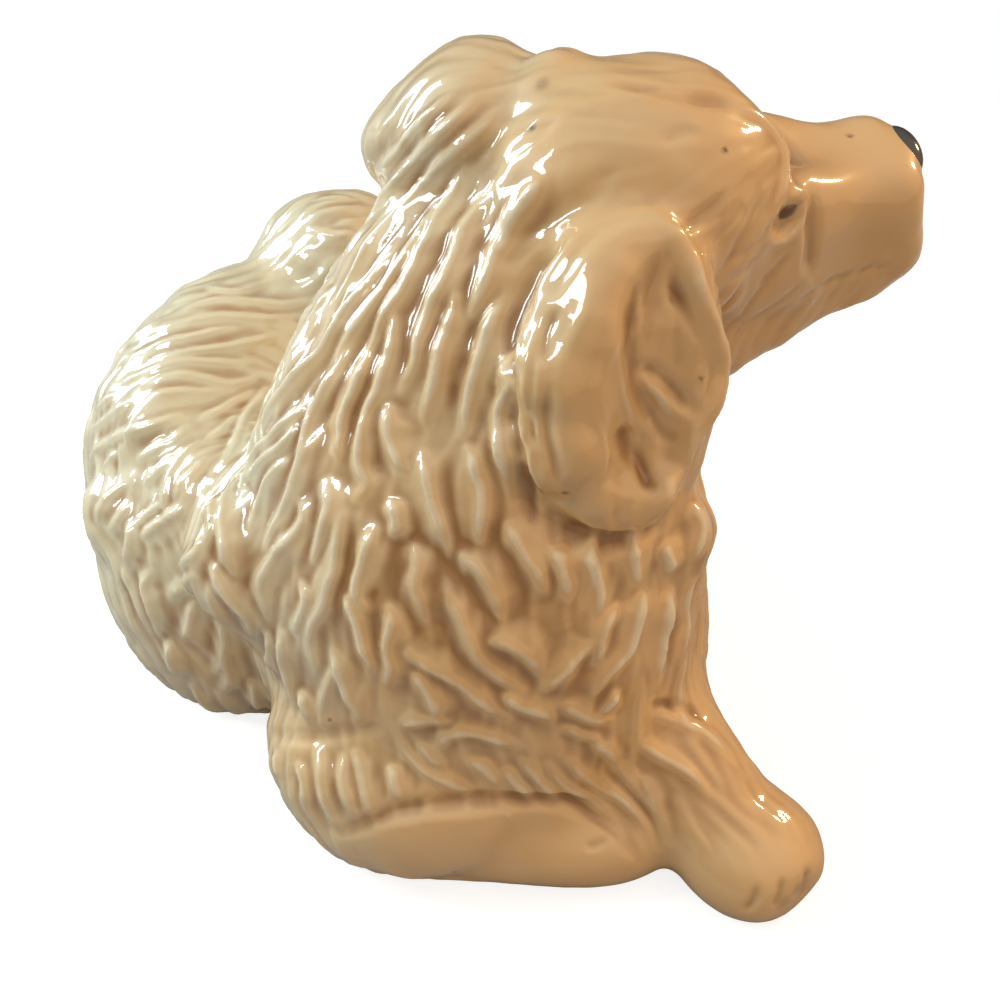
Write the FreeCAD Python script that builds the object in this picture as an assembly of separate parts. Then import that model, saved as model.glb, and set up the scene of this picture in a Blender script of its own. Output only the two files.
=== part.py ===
"""Glazed earthenware dog lying down with its head turned to its left, as hollow and solid castings.

Millimetres, +Z up. The dog lies along X with its chest towards +X and its left side towards +Y.
The castings are stuck together with slip, so each one is cut to the face of the one it sits on.
"""
import FreeCAD
import Part

import math
import os

from FreeCAD import Matrix, Placement, Rotation, Vector

# Walls and openings
WALL = 4.0
BASE_THICKNESS = 5.0
VENT_RADIUS = 6.0
VENT_PLACE_SHARES = (0.40, 0.00)
CUT_OVERRUN = 10.0

# How far a surface may stray from the facets that the overall box is measured on
MEASURE_STEP = 0.05

# Points of one cross-section outline, and the largest share of a casting that may come loose in a cut
SECTION_POINTS = 12
LOOSE_SHARE = 0.15

# Turns that lay the poles of an egg along its length and its seam away from the cut edges
EGG_SEAM_TURN = 90.0
EGG_POLE_TURN = 90.0

# Every section row below reads: along, shift to the left, lift, half width, half height.
# Each is a share of the casting's own length, width or height.

# Trunk, from the rump to the shoulders
TRUNK_LENGTH = 124.0
TRUNK_WIDTH = 92.0
TRUNK_HEIGHT = 64.0
TRUNK_SECTION_SHARES = (
    (0.000, 0.03, 0.25, 0.12, 0.24),
    (0.020, 0.03, 0.30, 0.25, 0.42),
    (0.070, 0.03, 0.36, 0.38, 0.53),
    (0.150, 0.03, 0.40, 0.46, 0.59),
    (0.270, 0.03, 0.40, 0.50, 0.60),
    (0.435, 0.03, 0.34, 0.50, 0.52),
    (0.661, 0.03, 0.32, 0.48, 0.48),
    (0.855, 0.03, 0.32, 0.43, 0.48),
    (1.000, 0.03, 0.25, 0.31, 0.37),
)

# Ruff of neck and chest fur, from the ground up to the skull; its sections lie level
RUFF_HEIGHT = 118.0
RUFF_WIDTH = 90.0
RUFF_DEPTH = 96.0
RUFF_PLACE_SHARES = (0.815, -0.065, 0.00)
RUFF_SECTION_SHARES = (
    (-0.08, 0.00, 0.045, 0.430, 0.390),
    (0.00, 0.00, 0.048, 0.450, 0.415),
    (0.16, -0.01, 0.052, 0.485, 0.470),
    (0.33, -0.02, 0.026, 0.478, 0.485),
    (0.50, -0.01, 0.016, 0.435, 0.464),
    (0.65, 0.04, 0.010, 0.372, 0.411),
    (0.80, 0.13, 0.021, 0.322, 0.354),
    (0.91, 0.20, 0.048, 0.282, 0.300),
    (0.97, 0.25, 0.083, 0.230, 0.240),
    (1.00, 0.27, 0.100, 0.130, 0.135),
)

# Haunches, each an egg shape that the ground cuts off; length, width, height
RIGHT_HAUNCH_LENGTH = 73.0
RIGHT_HAUNCH_WIDTH = 65.0
RIGHT_HAUNCH_HEIGHT = 76.0
RIGHT_HAUNCH_PLACE_SHARES = (0.427, -0.235, 0.268)
RIGHT_HAUNCH_TURN = -6.0
LEFT_HAUNCH_LENGTH = 62.0
LEFT_HAUNCH_WIDTH = 48.0
LEFT_HAUNCH_HEIGHT = 80.0
LEFT_HAUNCH_PLACE_SHARES = (0.270, 0.370, 0.590)
LEFT_HAUNCH_LEAN = 14.0

# Left hind foot and tail, on the side away from the right elbow
HIND_FOOT_LENGTH = 52.0
HIND_FOOT_WIDTH = 20.0
HIND_FOOT_HEIGHT = 19.0
HIND_FOOT_PLACE_SHARES = (0.395, 0.51, 0.00)
HIND_FOOT_TURN = 12.0
HIND_FOOT_SECTION_SHARES = (
    (0.00, 0.00, 0.42, 0.36, 0.46),
    (0.22, 0.00, 0.42, 0.50, 0.54),
    (0.55, 0.00, 0.38, 0.44, 0.48),
    (0.80, 0.00, 0.36, 0.50, 0.47),
    (0.94, 0.00, 0.32, 0.38, 0.36),
    (1.00, 0.00, 0.30, 0.20, 0.20),
)
TAIL_LENGTH = 44.0
TAIL_WIDTH = 21.0
TAIL_HEIGHT = 22.0
TAIL_PLACE_SHARES = (0.04, 0.36, 0.00)
TAIL_TURN = 28.0
TAIL_SECTION_SHARES = (
    (0.00, 0.00, 0.42, 0.36, 0.48),
    (0.28, 0.00, 0.42, 0.50, 0.54),
    (0.62, 0.00, 0.36, 0.48, 0.48),
    (0.88, 0.00, 0.29, 0.34, 0.35),
    (1.00, 0.00, 0.26, 0.17, 0.17),
)

# Skull, an egg shape turned, tipped and leaning on top of the ruff
HEAD_TURN = 60.0
HEAD_LEAN = 12.0
SKULL_LENGTH = 53.0
SKULL_WIDTH = 43.0
SKULL_HEIGHT = 45.0
SKULL_PLACE_SHARES = (0.164, 0.287, 0.950)

# Muzzle and lower jaw, in the skull's own directions
MUZZLE_LENGTH = 38.5
MUZZLE_WIDTH = 36.0
MUZZLE_HEIGHT = 36.0
MUZZLE_START_SHARE = 0.236
MUZZLE_SQUARENESS = 2.5
MUZZLE_SECTION_SHARES = (
    (0.00, 0.00, -0.194, 0.50, 0.50),
    (0.25, 0.00, -0.245, 0.444, 0.472),
    (0.51, 0.00, -0.250, 0.361, 0.395),
    (0.81, 0.00, -0.215, 0.325, 0.342),
    (0.94, 0.00, -0.205, 0.310, 0.322),
    (1.00, 0.00, -0.205, 0.245, 0.255),
)
JAW_LENGTH = 53.0
JAW_WIDTH = 32.0
JAW_HEIGHT = 28.0
JAW_START_SHARE = -0.066
JAW_SECTION_SHARES = (
    (0.00, 0.00, -1.140, 0.50, 0.429),
    (0.19, 0.00, -1.120, 0.50, 0.500),
    (0.38, 0.00, -1.050, 0.453, 0.500),
    (0.57, 0.00, -0.930, 0.391, 0.430),
    (0.77, 0.00, -0.735, 0.320, 0.310),
    (0.94, 0.00, -0.575, 0.280, 0.210),
    (1.00, 0.00, -0.530, 0.180, 0.130),
)

# Nose pad and eyes, small egg shapes stuck on the head
NOSE_LENGTH = 8.0
NOSE_WIDTH = 12.5
NOSE_HEIGHT = 8.5
NOSE_PLACE_SHARES = (0.96, 0.00, 0.00)
EYE_LENGTH = 6.5
EYE_WIDTH = 5.5
EYE_HEIGHT = 6.0
EYE_PLACE_SHARES = (0.385, 0.295, 0.115)
EYE_TURN = 40.0

# Ears, hanging down from the skull; their rows run downwards and lift means forwards
RIGHT_EAR_LENGTH = 59.0
RIGHT_EAR_THICKNESS = 19.0
RIGHT_EAR_BREADTH = 34.0
RIGHT_EAR_PLACE_SHARES = (0.00, 0.00, 0.280)
RIGHT_EAR_SECTION_SHARES = (
    (0.00, -0.84, -0.270, 0.240, 0.150),
    (0.07, -1.05, -0.310, 0.420, 0.330),
    (0.32, -1.50, -0.390, 0.490, 0.500),
    (0.63, -1.74, -0.410, 0.500, 0.490),
    (0.88, -1.76, -0.400, 0.421, 0.364),
    (1.00, -1.71, -0.390, 0.210, 0.182),
)
LEFT_EAR_LENGTH = 34.0
LEFT_EAR_THICKNESS = 16.0
LEFT_EAR_BREADTH = 28.0
LEFT_EAR_PLACE_SHARES = (0.00, 0.00, 0.320)
LEFT_EAR_SECTION_SHARES = (
    (0.00, 1.31, -0.570, 0.440, 0.200),
    (0.10, 1.44, -0.610, 0.720, 0.370),
    (0.34, 1.80, -0.680, 0.640, 0.500),
    (0.66, 2.16, -0.780, 0.500, 0.500),
    (0.90, 2.25, -0.800, 0.375, 0.339),
    (1.00, 2.25, -0.800, 0.188, 0.143),
)

# Right foreleg, folded: an egg-shaped upper arm and a forearm that runs to its paw
UPPER_ARM_LENGTH = 58.0
UPPER_ARM_WIDTH = 51.0
UPPER_ARM_HEIGHT = 44.0
UPPER_ARM_PLACE_SHARES = (0.120, -0.322, 0.130)
UPPER_ARM_TURN = 15.0
FOREARM_LENGTH = 69.0
FOREARM_WIDTH = 26.0
FOREARM_HEIGHT = 19.0
FOREARM_PLACE_SHARES = (0.005, -0.515, 0.00)
FOREARM_TURN = 33.0
FOREARM_SECTION_SHARES = (
    (0.00, 0.00, 0.42, 0.16, 0.21),
    (0.07, -0.01, 0.41, 0.38, 0.50),
    (0.36, -0.02, 0.41, 0.50, 0.56),
    (0.68, 0.03, 0.39, 0.50, 0.54),
    (0.91, 0.02, 0.35, 0.35, 0.44),
    (1.00, 0.01, 0.34, 0.16, 0.21),
)

# Left foreleg, stretched out, and its paw
FORELEG_LENGTH = 49.0
FORELEG_WIDTH = 28.0
FORELEG_HEIGHT = 28.0
FORELEG_PLACE_SHARES = (0.250, 0.085, 0.00)
FORELEG_TURN = -9.5
FORELEG_SECTION_SHARES = (
    (0.00, 0.00, 0.93, 0.50, 0.50),
    (0.36, -0.03, 0.78, 0.50, 0.464),
    (0.68, -0.08, 0.46, 0.464, 0.420),
    (0.90, -0.06, 0.32, 0.420, 0.370),
    (1.00, -0.05, 0.28, 0.380, 0.330),
)
FOREPAW_LENGTH = 26.0
FOREPAW_WIDTH = 26.5
FOREPAW_HEIGHT = 19.5
FOREPAW_START_SHARE = 0.69
FOREPAW_SECTION_SHARES = (
    (0.00, -0.08, 0.44, 0.30, 0.32),
    (0.14, -0.07, 0.42, 0.44, 0.50),
    (0.42, -0.04, 0.38, 0.50, 0.55),
    (0.72, -0.02, 0.34, 0.48, 0.50),
    (0.92, -0.01, 0.32, 0.35, 0.38),
    (1.00, -0.01, 0.31, 0.18, 0.20),
)


def placed(parent, point, turn=0.0, lean=0.0):
    """A frame at a point of the parent frame, turned about up and then leaning about its own length."""
    return parent.multiply(Placement(point, Rotation(turn, 0, lean)))


def shared(shares, length, width, height):
    """A point from its shares of a length, a width and a height."""
    return Vector(shares[0] * length, shares[1] * width, shares[2] * height)


def section(centre, half_width, half_height, squareness):
    """One closed smooth outline across the local length."""
    points = []
    for i in range(SECTION_POINTS):
        angle = 2 * math.pi * i / SECTION_POINTS
        across = math.cos(angle)
        up = math.sin(angle)
        across = math.copysign(abs(across) ** (2 / squareness), across)
        up = math.copysign(abs(up) ** (2 / squareness), up)
        points.append(centre + Vector(0, across * half_width, up * half_height))
    curve = Part.BSplineCurve()
    curve.interpolate(Points=points, PeriodicFlag=True)
    return Part.Wire([curve.toShape()])


def lofted(frame, length, width, height, rows, squareness=2.0, inset=0.0):
    """A casting through its section rows; inset leaves that wall all round and at both ends."""
    wires = []
    for along, side, lift, half_width, half_height in rows:
        centre = Vector(inset + along * (length - 2 * inset), side * width, lift * height)
        wires.append(section(centre, half_width * width - inset, half_height * height - inset, squareness))
    shape = Part.makeLoft(wires, True, False)
    shape.Placement = frame
    return shape


def egg(frame, length, width, height, inset=0.0):
    """An egg-shaped casting round the frame's own origin."""
    stretch = Matrix()
    stretch.scale(length / 2 - inset, width / 2 - inset, height / 2 - inset)
    ball = Part.makeSphere(1.0)
    ball.rotate(Vector(), Vector(0, 0, 1), EGG_SEAM_TURN)
    ball.rotate(Vector(), Vector(0, 1, 0), EGG_POLE_TURN)
    shape = ball.transformGeometry(stretch)
    shape.Placement = frame.multiply(shape.Placement)
    return shape


def slab(bottom, top):
    """A plate wider than the whole dog, between two heights."""
    reach = TRUNK_LENGTH + RUFF_DEPTH + FORELEG_LENGTH
    return Part.makeBox(2 * reach, 2 * reach, top - bottom, Vector(-reach, -reach, bottom))


def one_solid(shape, name):
    """The single solid of a cut casting; loose crumbs are dropped and a real second part is an error."""
    solids = sorted(shape.Solids, key=lambda s: s.Volume, reverse=True)
    for crumb in solids[1:]:
        if crumb.Volume > LOOSE_SHARE * solids[0].Volume:
            raise ValueError(name + " falls apart: " + str([round(s.Volume) for s in solids]))
    return solids[0]


# Frames, each from the one it sits on
TRUNK_FRAME = Placement()


def at_trunk(shares, turn=0.0, lean=0.0):
    return placed(TRUNK_FRAME, shared(shares, TRUNK_LENGTH, TRUNK_WIDTH, TRUNK_HEIGHT), turn, lean)


RUFF_FRAME = at_trunk(RUFF_PLACE_SHARES)


def at_ruff(shares, turn=0.0, lean=0.0):
    return placed(RUFF_FRAME, shared(shares, RUFF_DEPTH, RUFF_WIDTH, RUFF_HEIGHT), turn, lean)


SKULL_FRAME = at_ruff(SKULL_PLACE_SHARES, HEAD_TURN, HEAD_LEAN)
UPWARDS = Placement(Vector(), Rotation(Vector(0, 1, 0), -90))
DOWNWARDS = Placement(Vector(), Rotation(Vector(0, 1, 0), 90))


def upwards(rows):
    """Section rows for a casting that runs upwards, where lift has to mean forwards."""
    return [(along, side, -lift, half_width, half_height) for along, side, lift, half_width, half_height in rows]


def at_skull(shares, turn=0.0):
    return placed(SKULL_FRAME, shared(shares, SKULL_LENGTH, SKULL_WIDTH, SKULL_HEIGHT), turn)


def trunk(inset=0.0):
    return lofted(TRUNK_FRAME, TRUNK_LENGTH, TRUNK_WIDTH, TRUNK_HEIGHT, TRUNK_SECTION_SHARES, inset=inset)


def ruff(inset=0.0):
    frame = RUFF_FRAME.multiply(UPWARDS)
    return lofted(frame, RUFF_HEIGHT, RUFF_WIDTH, RUFF_DEPTH, upwards(RUFF_SECTION_SHARES), inset=inset)


def skull(inset=0.0):
    return egg(SKULL_FRAME, SKULL_LENGTH, SKULL_WIDTH, SKULL_HEIGHT, inset)


def right_haunch(inset=0.0):
    frame = at_trunk(RIGHT_HAUNCH_PLACE_SHARES, RIGHT_HAUNCH_TURN)
    return egg(frame, RIGHT_HAUNCH_LENGTH, RIGHT_HAUNCH_WIDTH, RIGHT_HAUNCH_HEIGHT, inset)


def left_haunch(inset=0.0):
    frame = at_trunk(LEFT_HAUNCH_PLACE_SHARES, lean=LEFT_HAUNCH_LEAN)
    return egg(frame, LEFT_HAUNCH_LENGTH, LEFT_HAUNCH_WIDTH, LEFT_HAUNCH_HEIGHT, inset)


def left_hind_foot():
    frame = at_trunk(HIND_FOOT_PLACE_SHARES, HIND_FOOT_TURN)
    return lofted(frame, HIND_FOOT_LENGTH, HIND_FOOT_WIDTH, HIND_FOOT_HEIGHT, HIND_FOOT_SECTION_SHARES)


def tail():
    frame = at_trunk(TAIL_PLACE_SHARES, TAIL_TURN)
    return lofted(frame, TAIL_LENGTH, TAIL_WIDTH, TAIL_HEIGHT, TAIL_SECTION_SHARES)


def muzzle():
    frame = at_skull((MUZZLE_START_SHARE, 0.0, 0.0))
    return lofted(frame, MUZZLE_LENGTH, MUZZLE_WIDTH, MUZZLE_HEIGHT, MUZZLE_SECTION_SHARES, MUZZLE_SQUARENESS)


def lower_jaw():
    frame = at_skull((JAW_START_SHARE, 0.0, 0.0))
    return lofted(frame, JAW_LENGTH, JAW_WIDTH, JAW_HEIGHT, JAW_SECTION_SHARES, MUZZLE_SQUARENESS)


def nose_pad():
    muzzle_frame = at_skull((MUZZLE_START_SHARE, 0.0, 0.0))
    frame = placed(muzzle_frame, shared(NOSE_PLACE_SHARES, MUZZLE_LENGTH, MUZZLE_WIDTH, MUZZLE_HEIGHT))
    return egg(frame, NOSE_LENGTH, NOSE_WIDTH, NOSE_HEIGHT)


def eye(side):
    along, out, up = EYE_PLACE_SHARES
    return egg(at_skull((along, side * out, up), side * EYE_TURN), EYE_LENGTH, EYE_WIDTH, EYE_HEIGHT)


def right_ear():
    frame = at_skull(RIGHT_EAR_PLACE_SHARES).multiply(DOWNWARDS)
    return lofted(frame, RIGHT_EAR_LENGTH, RIGHT_EAR_THICKNESS, RIGHT_EAR_BREADTH, RIGHT_EAR_SECTION_SHARES)


def left_ear():
    frame = at_skull(LEFT_EAR_PLACE_SHARES).multiply(DOWNWARDS)
    return lofted(frame, LEFT_EAR_LENGTH, LEFT_EAR_THICKNESS, LEFT_EAR_BREADTH, LEFT_EAR_SECTION_SHARES)


def right_upper_arm():
    frame = at_ruff(UPPER_ARM_PLACE_SHARES, UPPER_ARM_TURN)
    return egg(frame, UPPER_ARM_LENGTH, UPPER_ARM_WIDTH, UPPER_ARM_HEIGHT)


def right_forearm():
    frame = at_ruff(FOREARM_PLACE_SHARES, FOREARM_TURN)
    return lofted(frame, FOREARM_LENGTH, FOREARM_WIDTH, FOREARM_HEIGHT, FOREARM_SECTION_SHARES)


def left_foreleg():
    frame = at_ruff(FORELEG_PLACE_SHARES, FORELEG_TURN)
    return lofted(frame, FORELEG_LENGTH, FORELEG_WIDTH, FORELEG_HEIGHT, FORELEG_SECTION_SHARES)


def left_forepaw():
    leg = at_ruff(FORELEG_PLACE_SHARES, FORELEG_TURN)
    frame = placed(leg, shared((FOREPAW_START_SHARE, 0.0, 0.0), FORELEG_LENGTH, FORELEG_WIDTH, FORELEG_HEIGHT))
    return lofted(frame, FOREPAW_LENGTH, FOREPAW_WIDTH, FOREPAW_HEIGHT, FOREPAW_SECTION_SHARES)


def right_eye():
    return eye(-1)


def left_eye():
    return eye(1)


# The castings in the order that they are made; each is cut to fit the ones before it
SHELLS = (
    ("skull_shell", skull),
    ("ruff_shell", ruff),
    ("trunk_shell", trunk),
    ("right_haunch", right_haunch),
    ("left_haunch", left_haunch),
)
SOLIDS = (
    ("muzzle", muzzle),
    ("lower_jaw", lower_jaw),
    ("nose_pad", nose_pad),
    ("right_eye", right_eye),
    ("left_eye", left_eye),
    ("right_ear", right_ear),
    ("left_ear", left_ear),
    ("left_forepaw", left_forepaw),
    ("left_foreleg", left_foreleg),
    ("right_forearm", right_forearm),
    ("right_upper_arm", right_upper_arm),
    ("left_hind_foot", left_hind_foot),
    ("tail", tail),
)


def castings():
    """Every casting by name, fitted to its neighbours."""
    above_ground = slab(0, TRUNK_HEIGHT + RUFF_HEIGHT + SKULL_HEIGHT)
    hollows = [make(WALL) for name, make in SHELLS]
    fitted = {}
    outsides = []
    for name, make in SHELLS + SOLIDS:
        outside = make().common(above_ground)
        cutters = [done for done in outsides if done.BoundBox.intersect(outside.BoundBox)]
        if (name, make) in SHELLS:
            cutters = cutters + hollows
        fitted[name] = one_solid(outside.cut(cutters) if cutters else outside, name)
        outsides.append(outside)
    opening = hollows[0].multiFuse(hollows[1:])
    plate = opening.common(slab(0, BASE_THICKNESS))
    vent_place = Vector(VENT_PLACE_SHARES[0] * TRUNK_LENGTH, VENT_PLACE_SHARES[1] * TRUNK_WIDTH, -CUT_OVERRUN)
    vent = Part.makeCylinder(VENT_RADIUS, BASE_THICKNESS + 2 * CUT_OVERRUN, vent_place)
    fitted["base_plate"] = one_solid(plate.cut(vent), "base_plate")
    return fitted


def centred(shapes):
    """The castings moved so that the middle of the underside of their box is the origin."""
    box = FreeCAD.BoundBox()
    for shape in shapes.values():
        for point in shape.tessellate(MEASURE_STEP)[0]:
            box.add(point)
    move = Vector(-box.Center.x, -box.Center.y, -box.ZMin)
    return {name: shape.translated(move) for name, shape in shapes.items()}


os.makedirs("parts", exist_ok=True)
for node, casting in centred(castings()).items():
    casting.exportStep("parts/" + node + ".step")
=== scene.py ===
"""Glazed pottery dog lying down with its head turned: its fused clay, combed coat and honey glaze."""

import math
import random

import bpy
import numpy as np
from mathutils import Euler, Matrix, Vector
from mathutils.bvhtree import BVHTree


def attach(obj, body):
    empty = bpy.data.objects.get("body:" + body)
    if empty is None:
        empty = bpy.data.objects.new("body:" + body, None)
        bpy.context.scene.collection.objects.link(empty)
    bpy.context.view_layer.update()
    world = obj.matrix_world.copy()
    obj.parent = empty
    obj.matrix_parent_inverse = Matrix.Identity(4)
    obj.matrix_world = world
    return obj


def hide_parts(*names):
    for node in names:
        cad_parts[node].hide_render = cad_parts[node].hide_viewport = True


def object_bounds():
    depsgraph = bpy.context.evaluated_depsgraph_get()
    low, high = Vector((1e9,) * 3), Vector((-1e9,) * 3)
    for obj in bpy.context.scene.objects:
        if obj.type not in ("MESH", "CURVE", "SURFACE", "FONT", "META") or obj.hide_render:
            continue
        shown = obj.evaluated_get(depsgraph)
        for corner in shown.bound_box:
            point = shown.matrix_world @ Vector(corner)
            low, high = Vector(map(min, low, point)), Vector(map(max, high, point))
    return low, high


bl_info = {
    "name": "Lying Dog Figurine",
    "version": (1, 0, 0),
    "blender": (4, 5, 0),
    "location": "3D View > Sidebar > Lying Dog",
    "description": "Models the clay, coat and glaze of a lying pottery dog over its castings",
    "category": "Add Mesh",
}

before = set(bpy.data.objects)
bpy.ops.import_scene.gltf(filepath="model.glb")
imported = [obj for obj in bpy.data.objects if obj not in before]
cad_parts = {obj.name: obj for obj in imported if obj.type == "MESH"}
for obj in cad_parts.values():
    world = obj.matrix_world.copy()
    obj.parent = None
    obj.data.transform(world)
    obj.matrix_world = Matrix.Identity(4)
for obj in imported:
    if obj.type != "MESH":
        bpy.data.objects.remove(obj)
CAD_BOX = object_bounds()
MM = 0.001
# Corners of facets closer than this are one
WELD_GAP = 1e-6

# Camera of the photograph, whose side is PHOTO_SIDE pixels
PHOTO_SIDE = 1000
CAMERA_AZIMUTH = math.radians(41)
CAMERA_ELEVATION = math.radians(42)
CAMERA_DISTANCE = 250 * MM
CAMERA_TARGET = Vector((12.6, -5.25, 51.3)) * MM
FOCAL_PIXELS = 1303
SENSOR_WIDTH = 36.0

# Head frame: +X is the muzzle's direction
HEAD_CENTRE = Vector((24.6, 14.6, 112.1)) * MM
HEAD_TURN = math.radians(60)
HEAD_LEAN = math.radians(12)

HEAD = ("skull_shell", "muzzle", "lower_jaw")
PIECES = {
    "head": HEAD,
    "right_ear_flap": ("right_ear",),
    "left_ear_flap": ("left_ear",),
    "mane": ("ruff_shell",),
    "body": ("trunk_shell", "right_haunch"),
    "far_haunch": ("left_haunch", "left_hind_foot", "tail"),
    "folded_foreleg": ("right_upper_arm", "right_forearm"),
    "stretched_foreleg": ("left_foreleg", "left_forepaw"),
}

# How far the joints of a casting are rounded, as a share of the most, and the rounds that it takes
SOFTNESS = {
    "skull_shell": 0.25, "muzzle": 0.12, "lower_jaw": 0.2, "nose_pad": 0.1, "right_eye": 0.1, "left_eye": 0.1,
    "right_ear": 0.15, "left_ear": 0.3, "left_forepaw": 0.2, "left_foreleg": 0.4, "right_forearm": 0.4,
    "left_hind_foot": 0.3, "tail": 0.6,
}
BLEND_ROUNDS = 60
# Farthest that a form which shrank in the rounding is swelled again, and the share of the way
SWELL_LIMIT = 2.5 * MM
SWELL_SHARE = 0.9

# The far ear sits a little lower and closer to the neck than its casting
FAR_EAR_SHIFT = Vector((-1.0, -2.8, -2.9)) * MM
# The glazed skin starts this far above the underside of the bare base, and keeps at least the cover above it
BASE_LIFT = 2.2 * MM
PLATE_COVER = 1.3 * MM
# Plug of clay that hides the hollow above the vent: place, radius and thickness, in millimetres
VENT_PLUG_PLACE = (-42.8, -4.3, 9.0)
VENT_PLUG_RADIUS = 11.0
VENT_PLUG_THICKNESS = 4.0
# Thickness of the edge that closes a parted piece of the skin on its inside
CUT_DEPTH = 2.5 * MM

# Coat of each casting: relief height, lock half width and lock length, in millimetres
COATS = {
    "skull_shell": (0.26, 1.6, 24),
    "muzzle": (0.0, 1.0, 10),
    "lower_jaw": (0.35, 1.4, 16),
    "nose_pad": (0.0, 1.0, 10),
    "right_eye": (0.0, 1.0, 10),
    "left_eye": (0.0, 1.0, 10),
    "right_ear": (0.45, 1.8, 26),
    "left_ear": (0.55, 1.8, 18),
    "ruff_shell": (1.25, 2.0, 20),
    "trunk_shell": (0.9, 1.7, 20),
    "right_haunch": (1.1, 1.8, 16),
    "left_haunch": (0.8, 1.8, 18),
    "right_upper_arm": (0.8, 1.5, 16),
    "right_forearm": (0.05, 1.4, 18),
    "left_foreleg": (0.45, 1.4, 16),
    "left_forepaw": (0.05, 1.4, 12),
    "left_hind_foot": (0.1, 1.4, 12),
    "tail": (0.9, 1.6, 18),
}

# Way of the hair on the side that the photograph shows: pixel of the root, pixel of the tip
COMBED_PIXELS = (
    (470, 110, 400, 200), (440, 170, 385, 260), (400, 230, 340, 330), (370, 280, 300, 380),
    (330, 340, 260, 440), (290, 400, 235, 490), (480, 200, 420, 300), (440, 280, 390, 380),
    (400, 330, 350, 430), (350, 420, 300, 520), (300, 480, 260, 560), (520, 200, 460, 300),
    (560, 180, 500, 240), (480, 300, 450, 400), (450, 380, 430, 480), (500, 380, 490, 470),
    (400, 430, 380, 530), (350, 520, 330, 620), (300, 560, 290, 660), (430, 480, 420, 580),
    (480, 480, 480, 580), (520, 500, 530, 600), (560, 540, 570, 640), (620, 540, 600, 640),
    (660, 530, 640, 640), (690, 520, 680, 600), (460, 580, 460, 680), (400, 580, 390, 680),
    (340, 620, 330, 700), (520, 620, 530, 710), (580, 640, 570, 720), (640, 630, 620, 720),
    (690, 620, 680, 700), (130, 350, 100, 420), (120, 450, 130, 530), (160, 480, 170, 560),
    (200, 500, 210, 600), (150, 560, 190, 640), (230, 560, 240, 650), (200, 640, 250, 710),
    (330, 300, 220, 320), (250, 330, 140, 345), (260, 380, 150, 360), (250, 430, 200, 430),
    (360, 200, 290, 220), (290, 250, 250, 290), (180, 420, 150, 470),
    (720, 80, 640, 75), (740, 110, 620, 80), (700, 150, 580, 150), (770, 150, 700, 190),
    (640, 120, 540, 110), (600, 90, 500, 80), (600, 190, 540, 230), (780, 230, 740, 290),
    (800, 240, 750, 320), (760, 330, 730, 380), (450, 60, 400, 100), (400, 110, 385, 160),
    (620, 260, 560, 340), (560, 300, 530, 420), (570, 400, 580, 500), (660, 280, 680, 400),
    (350, 740, 340, 810), (290, 740, 300, 830), (420, 760, 430, 800), (520, 740, 520, 790),
    (600, 720, 610, 800), (450, 850, 580, 850), (680, 720, 740, 820), (740, 800, 780, 880),
    (650, 780, 700, 850),
)

# Way of the hair elsewhere: place in millimetres, and direction
COMBED_PLACES = (
    ((10, 26, 90), (-0.3, 0.1, -1.0)), ((32, 24, 60), (0.1, 0.1, -1.0)), ((45, 8, 50), (0.1, 0.2, -1.0)),
    ((0, 35, 60), (-0.4, 0.1, -1.0)), ((-20, 42, 45), (-0.6, 0.1, -0.8)), ((-60, 40, 40), (-0.6, 0.1, -0.8)),
    ((-85, 10, 40), (-0.2, 0.1, -1.0)), ((-90, 0, 25), (0.0, 0.0, -1.0)), ((-70, 35, 20), (-0.3, 0.0, -1.0)),
    ((-30, 0, 62), (-1.0, 0.1, -0.2)), ((-60, 0, 60), (-1.0, 0.0, -0.3)), ((20, 38, 25), (0.0, 0.1, -1.0)),
    ((-10, 15, 90), (-0.6, 0.2, -0.8)), ((-5, 0, 100), (-0.7, -0.1, -0.8)), ((15, 30, 115), (-0.4, 0.3, -0.9)),
)

# Crests of single locks in the photograph, each as pixel places from root to tip
NECK_CRESTS = (
    (450, 95, 430, 115, 412, 135, 395, 155, 378, 178, 366, 202, 350, 235),
    (480, 98, 450, 125, 425, 150, 405, 172, 388, 195, 372, 218, 356, 242, 340, 265),
    (505, 108, 470, 138, 445, 158, 425, 182, 408, 204, 390, 224, 372, 245, 356, 268, 340, 292, 325, 315),
    (470, 160, 456, 185, 443, 210, 430, 235, 415, 265, 400, 292, 384, 318, 372, 345, 366, 368),
    (440, 195, 428, 222, 412, 248, 396, 272, 380, 296, 362, 320, 345, 345, 330, 372),
    (482, 198, 466, 225, 455, 250, 444, 280, 430, 308, 420, 335, 416, 360, 404, 385, 394, 402),
    (400, 240, 385, 262, 368, 283, 352, 303, 338, 325, 322, 348, 300, 372, 280, 396, 262, 422, 250, 446),
    (352, 340, 342, 360, 330, 377, 320, 396, 311, 416, 305, 440, 301, 458, 293, 488, 283, 510, 272, 530, 264, 556),
    (372, 350, 364, 372, 355, 395, 345, 412, 340, 435, 338, 460),
    (330, 312, 315, 330, 298, 348, 284, 366, 270, 385, 255, 405, 243, 425, 233, 446, 222, 466),
    (520, 190, 510, 215, 498, 243, 490, 270, 480, 296, 470, 320),
    (545, 178, 526, 200, 512, 225, 503, 250, 498, 275),
    (400, 302, 393, 330, 388, 360, 378, 390, 366, 412, 360, 440, 358, 466, 366, 482, 360, 494, 349, 504),
    (310, 400, 290, 420, 270, 440, 254, 460, 244, 482, 240, 505),
    (460, 290, 450, 318, 442, 345, 436, 372, 428, 400, 424, 425),
    (500, 300, 488, 330, 478, 360, 470, 390, 466, 420, 468, 442),
    (505, 380, 500, 405, 498, 430, 500, 455, 506, 480),
    (300, 425, 285, 443, 268, 458, 250, 476, 236, 492),
)
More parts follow.
